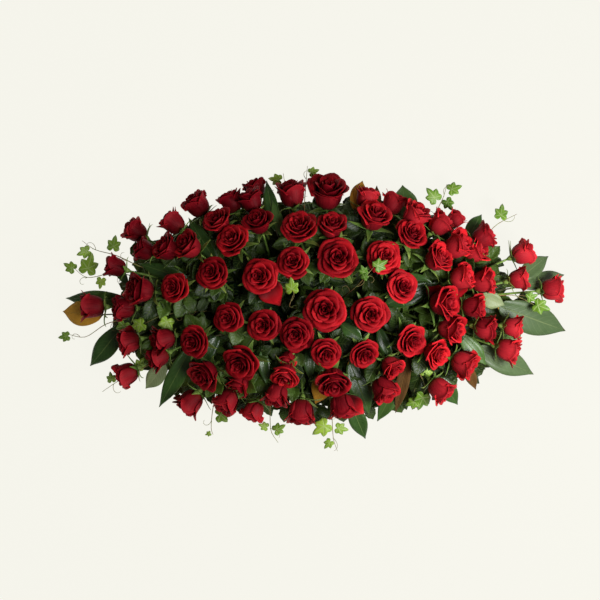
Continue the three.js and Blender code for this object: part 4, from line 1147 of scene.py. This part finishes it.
def softened(path, steps):
    """A path with points between its own and its corners eased"""
    fine = [between(path[k], path[k + 1], s) for k in range(len(path) - 1) for s in np.arange(steps) / steps]
    fine = np.array(fine + [path[-1]])
    for _ in range(3):
        fine[1:-1] = (fine[:-2] + 2 * fine[1:-1] + fine[2:]) / 4
    return fine


for number, (name, trail) in enumerate(IVY_TRAILS.items()):
    chance = np.random.default_rng(IVY_SEED + number)
    draw = chance.uniform
    leaves = new_heap()
    vine = new_heap()
    lift = trail[2] if len(trail) > 2 else 0
    path = np.array([(x, y, max(VINE_LOW, leaf_height(x, y) + lift)) for x, y in trail[0]])
    mouth, direction = root_towards(path[0])
    across = sideways_of(path[1] - path[0])
    own_node = [f"ivy_{name}"] if f"ivy_{name}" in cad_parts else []
    if own_node:
        bend = as_in_solid(BENDS, lambda bend: path[-1] + bent(bend, across), own_node[0], VINE_NEAR)
        path = path + bent(bend, across)
    add_root(vine, mouth, direction, ROOT_RADIUS * 0.8, 8)
    line = softened(np.array([stem_start(mouth, direction), *path]), 5)
    add_tube(vine, line, np.linspace(VINE_RADIUS + 0.2, 0.5, len(line)), 6, 0.5)
    for share, size, bearing in trail[1]:
        foot = point_along(path, share)
        near = line[np.argmin(np.linalg.norm(line - foot, axis=1))]
        # Darker towards the east end, where the lamp lights them more, and the more a trail is lifted:
        # painted shade
        shade = draw(0.2, 0.9) - 0.4 * max(foot[0], 0) / LEAF_HALF_LONG - 0.005 * lift
        add_ivy_leaf(leaves, foot, size, bearing, draw, shade)
        stalk = [near, between(near, foot, 0.5) + UP * 2, foot + UP * 3.5]
        add_tube(vine, stalk, (0.8, 0.7, 0.6), 5, 0.5)
    for share in TENDRIL_PLACES:
        add_tendril(vine, point_along(line, share), line[-1] - line[-4], chance)
    make_piece(f"ivy_{name}_leaves", leaves, [ivy_green], own_node)
    make_piece(f"ivy_{name}_vine", vine, [vine_bark])

# Filling sprigs: long sprigs of rose leaves that hide the foam and the stems, from the rim up to the
# crown. Each has seven leaflets on a thin arching stalk, and goes into the foam with a bunch of roses.
SPRIG_SEED = 5900
# Each ring of tips: its share of the leaves' outline, the space between its tips, and how high they are
# as a share of the leaves' height
SPRIG_RINGS = ((0.79, 72, 0.40), (0.56, 92, 0.84), (0.66, 116, 0.62), (0.34, 100, 0.88))
SPRIG_LONG = 112
SPRIG_WIDE = 76
SPRIG_BOW = 0.1
SPRIG_BLADE = 0.8
SPRIG_PAIRS = (0.02, 0.30, 0.55)
SPRIG_ROOTS = 6


def ring_tips(out, apart, high):
    """The evenly spaced tips of a ring of sprigs"""
    half_long = out * LEAF_HALF_LONG
    half_wide = out * LEAF_HALF_WIDE
    angle = 0.0
    while angle < 2 * pi:
        x = half_long * cos(angle)
        y = half_wide * sin(angle)
        yield np.array((x, y, high * leaf_height(x, y)))
        angle += apart / hypot(half_long * sin(angle), half_wide * cos(angle))


def sprig_in_solid(tip):
    """The bunch that a sprig grows from in the solids, if there is one, and where its tip is"""
    foot, _ = root_towards(tip)
    across = sideways_of(tip - foot)
    near = sorted(range(len(bunches)), key=lambda k: np.linalg.norm(bunches[k][2] - foot))
    for k in near[:SPRIG_ROOTS]:
        for bend in BENDS:
            end = tip + bent(bend, across)
            if in_solid(end, f"roses_{bunches[k][0]}"):
                return k, end
    return None, tip


def add_sprig(heap, start, tip, draw):
    """An arching stalk with three pairs of leaflets and one at its end"""
    run = tip - start
    long = np.linalg.norm(run)
    side = sideways_of(run)
    face = np.cross(run / long, side)
    bare = 1 - min(SPRIG_LONG / long, SPRIG_BLADE)

    def place(share, aside=0.0):
        u = bare + (1 - bare) * share
        rise = SPRIG_BOW * long * sin(pi * u) + 0.16 * abs(aside)
        return start + run * u + side * aside + face * rise

    first = -bare / (1 - bare)
    stalk = [place(share) for share in np.linspace(first, 0.7, 10)]
    add_tube(heap, stalk, np.linspace(1.7, 0.8, len(stalk)), 5, 0.3)
    tone = draw(0.0, 0.9)
    for share in SPRIG_PAIRS:
        for way in (-1, 1):
            begin = share + draw(-0.03, 0.03)
            reach = way * SPRIG_WIDE * draw(0.42, 0.54)
            end = place(begin + draw(0.16, 0.28), reach) + UP * draw(-3, 3)
            shade = tone + draw(-0.2, 0.2)
            add_leaflet(heap, place(begin), end, 28, shade, draw(-0.4, 0.4), draw, 9)
    add_leaflet(heap, place(0.64), tip, 31, tone, draw(-0.3, 0.3), draw, 9)


draw = np.random.default_rng(SPRIG_SEED).uniform
heaps = [new_heap() for _ in bunches]
for ring in SPRIG_RINGS:
    for tip in ring_tips(*ring):
        k, end = sprig_in_solid(tip)
        if k is not None:
            add_sprig(heaps[k], stem_start(*bunches[k][2:]), end, draw)
for (name, *_), heap in zip(bunches, heaps):
    if heap["points"]:
        make_piece(f"roses_{name}_sprigs", heap, rose_leaf_finishes, [f"roses_{name}"])

# Filling leaves: short sprigs pushed into the foam between the blooms and the longer sprigs and all
# round the tray. They lie just below the magnolia leaves.
FILLING_SEED = 6000
# Each layer: how far apart its sprigs are, how high they lie as a share of the leaves' height, how much
# longer than the others they are, and the share of the outline that it fills
LEAFY_LAYERS = ((54, 0.76, 0, 1.0), (62, 0.42, 0, 1.0), (56, 0.10, 22, 0.90), (60, 0.60, 6, 0.60))
LEAFY_HALF_LONG = 505
LEAFY_HALF_WIDE = 264
LEAFY_LONG = (62, 84)
LEAFY_WIDE = 0.60
LEAFY_LOW = 16
LEAFY_ROW = 0.87
LEAFY_ASTRAY = 8
LEAFY_BANDS = 8
FOAM_CLEAR = 8
STALK_SUNK = 18


def sprig_places(apart, share, draw):
    """Places for the sprigs, in staggered rows, a little out of line"""
    rows = int(LEAFY_HALF_WIDE / (apart * LEAFY_ROW))
    for row in range(-rows, rows + 1):
        y = row * apart * LEAFY_ROW
        reach = LEAFY_HALF_LONG * sqrt(max(0.0, share ** 2 - (y / LEAFY_HALF_WIDE) ** 2))
        for column in range(-int(reach // apart), int(reach // apart) + 1):
            astray = draw(-LEAFY_ASTRAY, LEAFY_ASTRAY, 2)
            yield np.array(((column + 0.5 * (row % 2)) * apart, y)) + astray


def in_outline(place, share):
    """Is a place inside a share of the outline that the filling leaves keep to, seen from above?"""
    return (place[0] / LEAFY_HALF_LONG) ** 2 + (place[1] / LEAFY_HALF_WIDE) ** 2 < share ** 2


chance = np.random.default_rng(FILLING_SEED)
draw = chance.uniform
heaps = [new_heap() for _ in range(LEAFY_BANDS)]
for apart, high_share, longer, share in LEAFY_LAYERS:
    for x, y in sprig_places(apart, share, draw):
        high = leaf_height(x, y) * high_share + draw(-26, 8)
        foot = np.array((x, y, max(high, LEAFY_LOW)))
        bearing = atan2(y, 0.5 * x) + draw(-1.3, 1.3) + chance.choice((0, 0, 0, pi))
        outward = unit(np.array((cos(bearing), sin(bearing), draw(-0.30, 0.10))))
        long = draw(*LEAFY_LONG) + longer
        over_foam = abs(x) < FOAM_HALF_LONG + FOAM_CLEAR and abs(y) < FOAM_HALF_WIDE + FOAM_CLEAR
        if (over_foam and foot[2] < FOAM_TOP + FOAM_CLEAR) or not in_outline(foot, share):
            continue
        if not in_outline(foot + outward * long, share):
            outward = unit(outward * (-1, -1, 1) + UP * 0.2)
        mouth, direction = root_towards(foot)
        band = min(int((x / LEAFY_HALF_LONG + 1) / 2 * LEAFY_BANDS), LEAFY_BANDS - 1)
        corners = (mouth - direction * STALK_SUNK, mouth, between(mouth, foot, 0.6) + UP * 4, foot)
        add_tube(heaps[band], soft_curve(corners, 5), 1.3, 5, 0.3)
        add_rose_leaf(heaps[band], foot, outward, long, long * LEAFY_WIDE, draw, 7)
for band, heap in enumerate(heaps):
    make_piece(f"filling_leaves_{band + 1}", heap, rose_leaf_finishes)

# The studio: a plain cream floor that runs far past the picture, soft light from above, a lamp beyond the
# spray's fuller end that lights that end more, and a long lens high over it that looks straight down.
# Its lengths are in metres.
PICTURE_MIDDLE = (-0.0367, 0.0213)
PICTURE_WIDE = 1.422
PICTURE_LEVEL = 0.17
CAMERA_HIGH = 10.0
FLOOR_HALF = 9.0
CREAM = (0.922, 0.913, 0.839)
FLOOR_GLOW = 0.977
FLOOR_SHADE = 0.03

floor_mesh = bpy.data.meshes.new("floor")
corners = [(x * FLOOR_HALF, y * FLOOR_HALF, 0.0) for x, y in ((-1, -1), (1, -1), (1, 1), (-1, 1))]
floor_mesh.from_pydata(corners, [], [(0, 1, 2, 3)])
cream_paper, tree = new_finish("cream paper")
set_shader(tree, {
    "Base Color": (*(FLOOR_SHADE * c for c in CREAM), 1.0), "Roughness": 0.95, "Specular IOR Level": 0.0,
    "Emission Color": (*CREAM, 1.0), "Emission Strength": FLOOR_GLOW,
})
floor_mesh.materials.append(cream_paper)
place_new("floor", floor_mesh)

above = bpy.data.lights.new("above", "SUN")
above.energy = 1.15
above.angle = radians(20)
place_new("above", above).rotation_euler = (radians(8), radians(20), 0.0)

beside = bpy.data.lights.new("beside", "POINT")
beside.energy = 55.0
beside.shadow_soft_size = 0.22
place_new("beside", beside).location = (0.95, -0.18, 1.1)

studio = bpy.data.worlds.new("studio")
studio.use_nodes = True
sky = {"Color": (0.96, 0.96, 0.90, 1.0), "Strength": 0.07}
set_inputs(studio.node_tree, studio.node_tree.nodes["Background"], sky)
bpy.context.scene.world = studio
bpy.context.scene.view_settings.view_transform = "Standard"

lens = bpy.data.cameras.new("camera")
lens.sensor_width = 36.0
lens.lens = lens.sensor_width * (CAMERA_HIGH - PICTURE_LEVEL) / PICTURE_WIDE
lens.clip_end = 50.0
camera = place_new("camera", lens)
camera.location = (*PICTURE_MIDDLE, CAMERA_HIGH)
bpy.context.scene.camera = camera
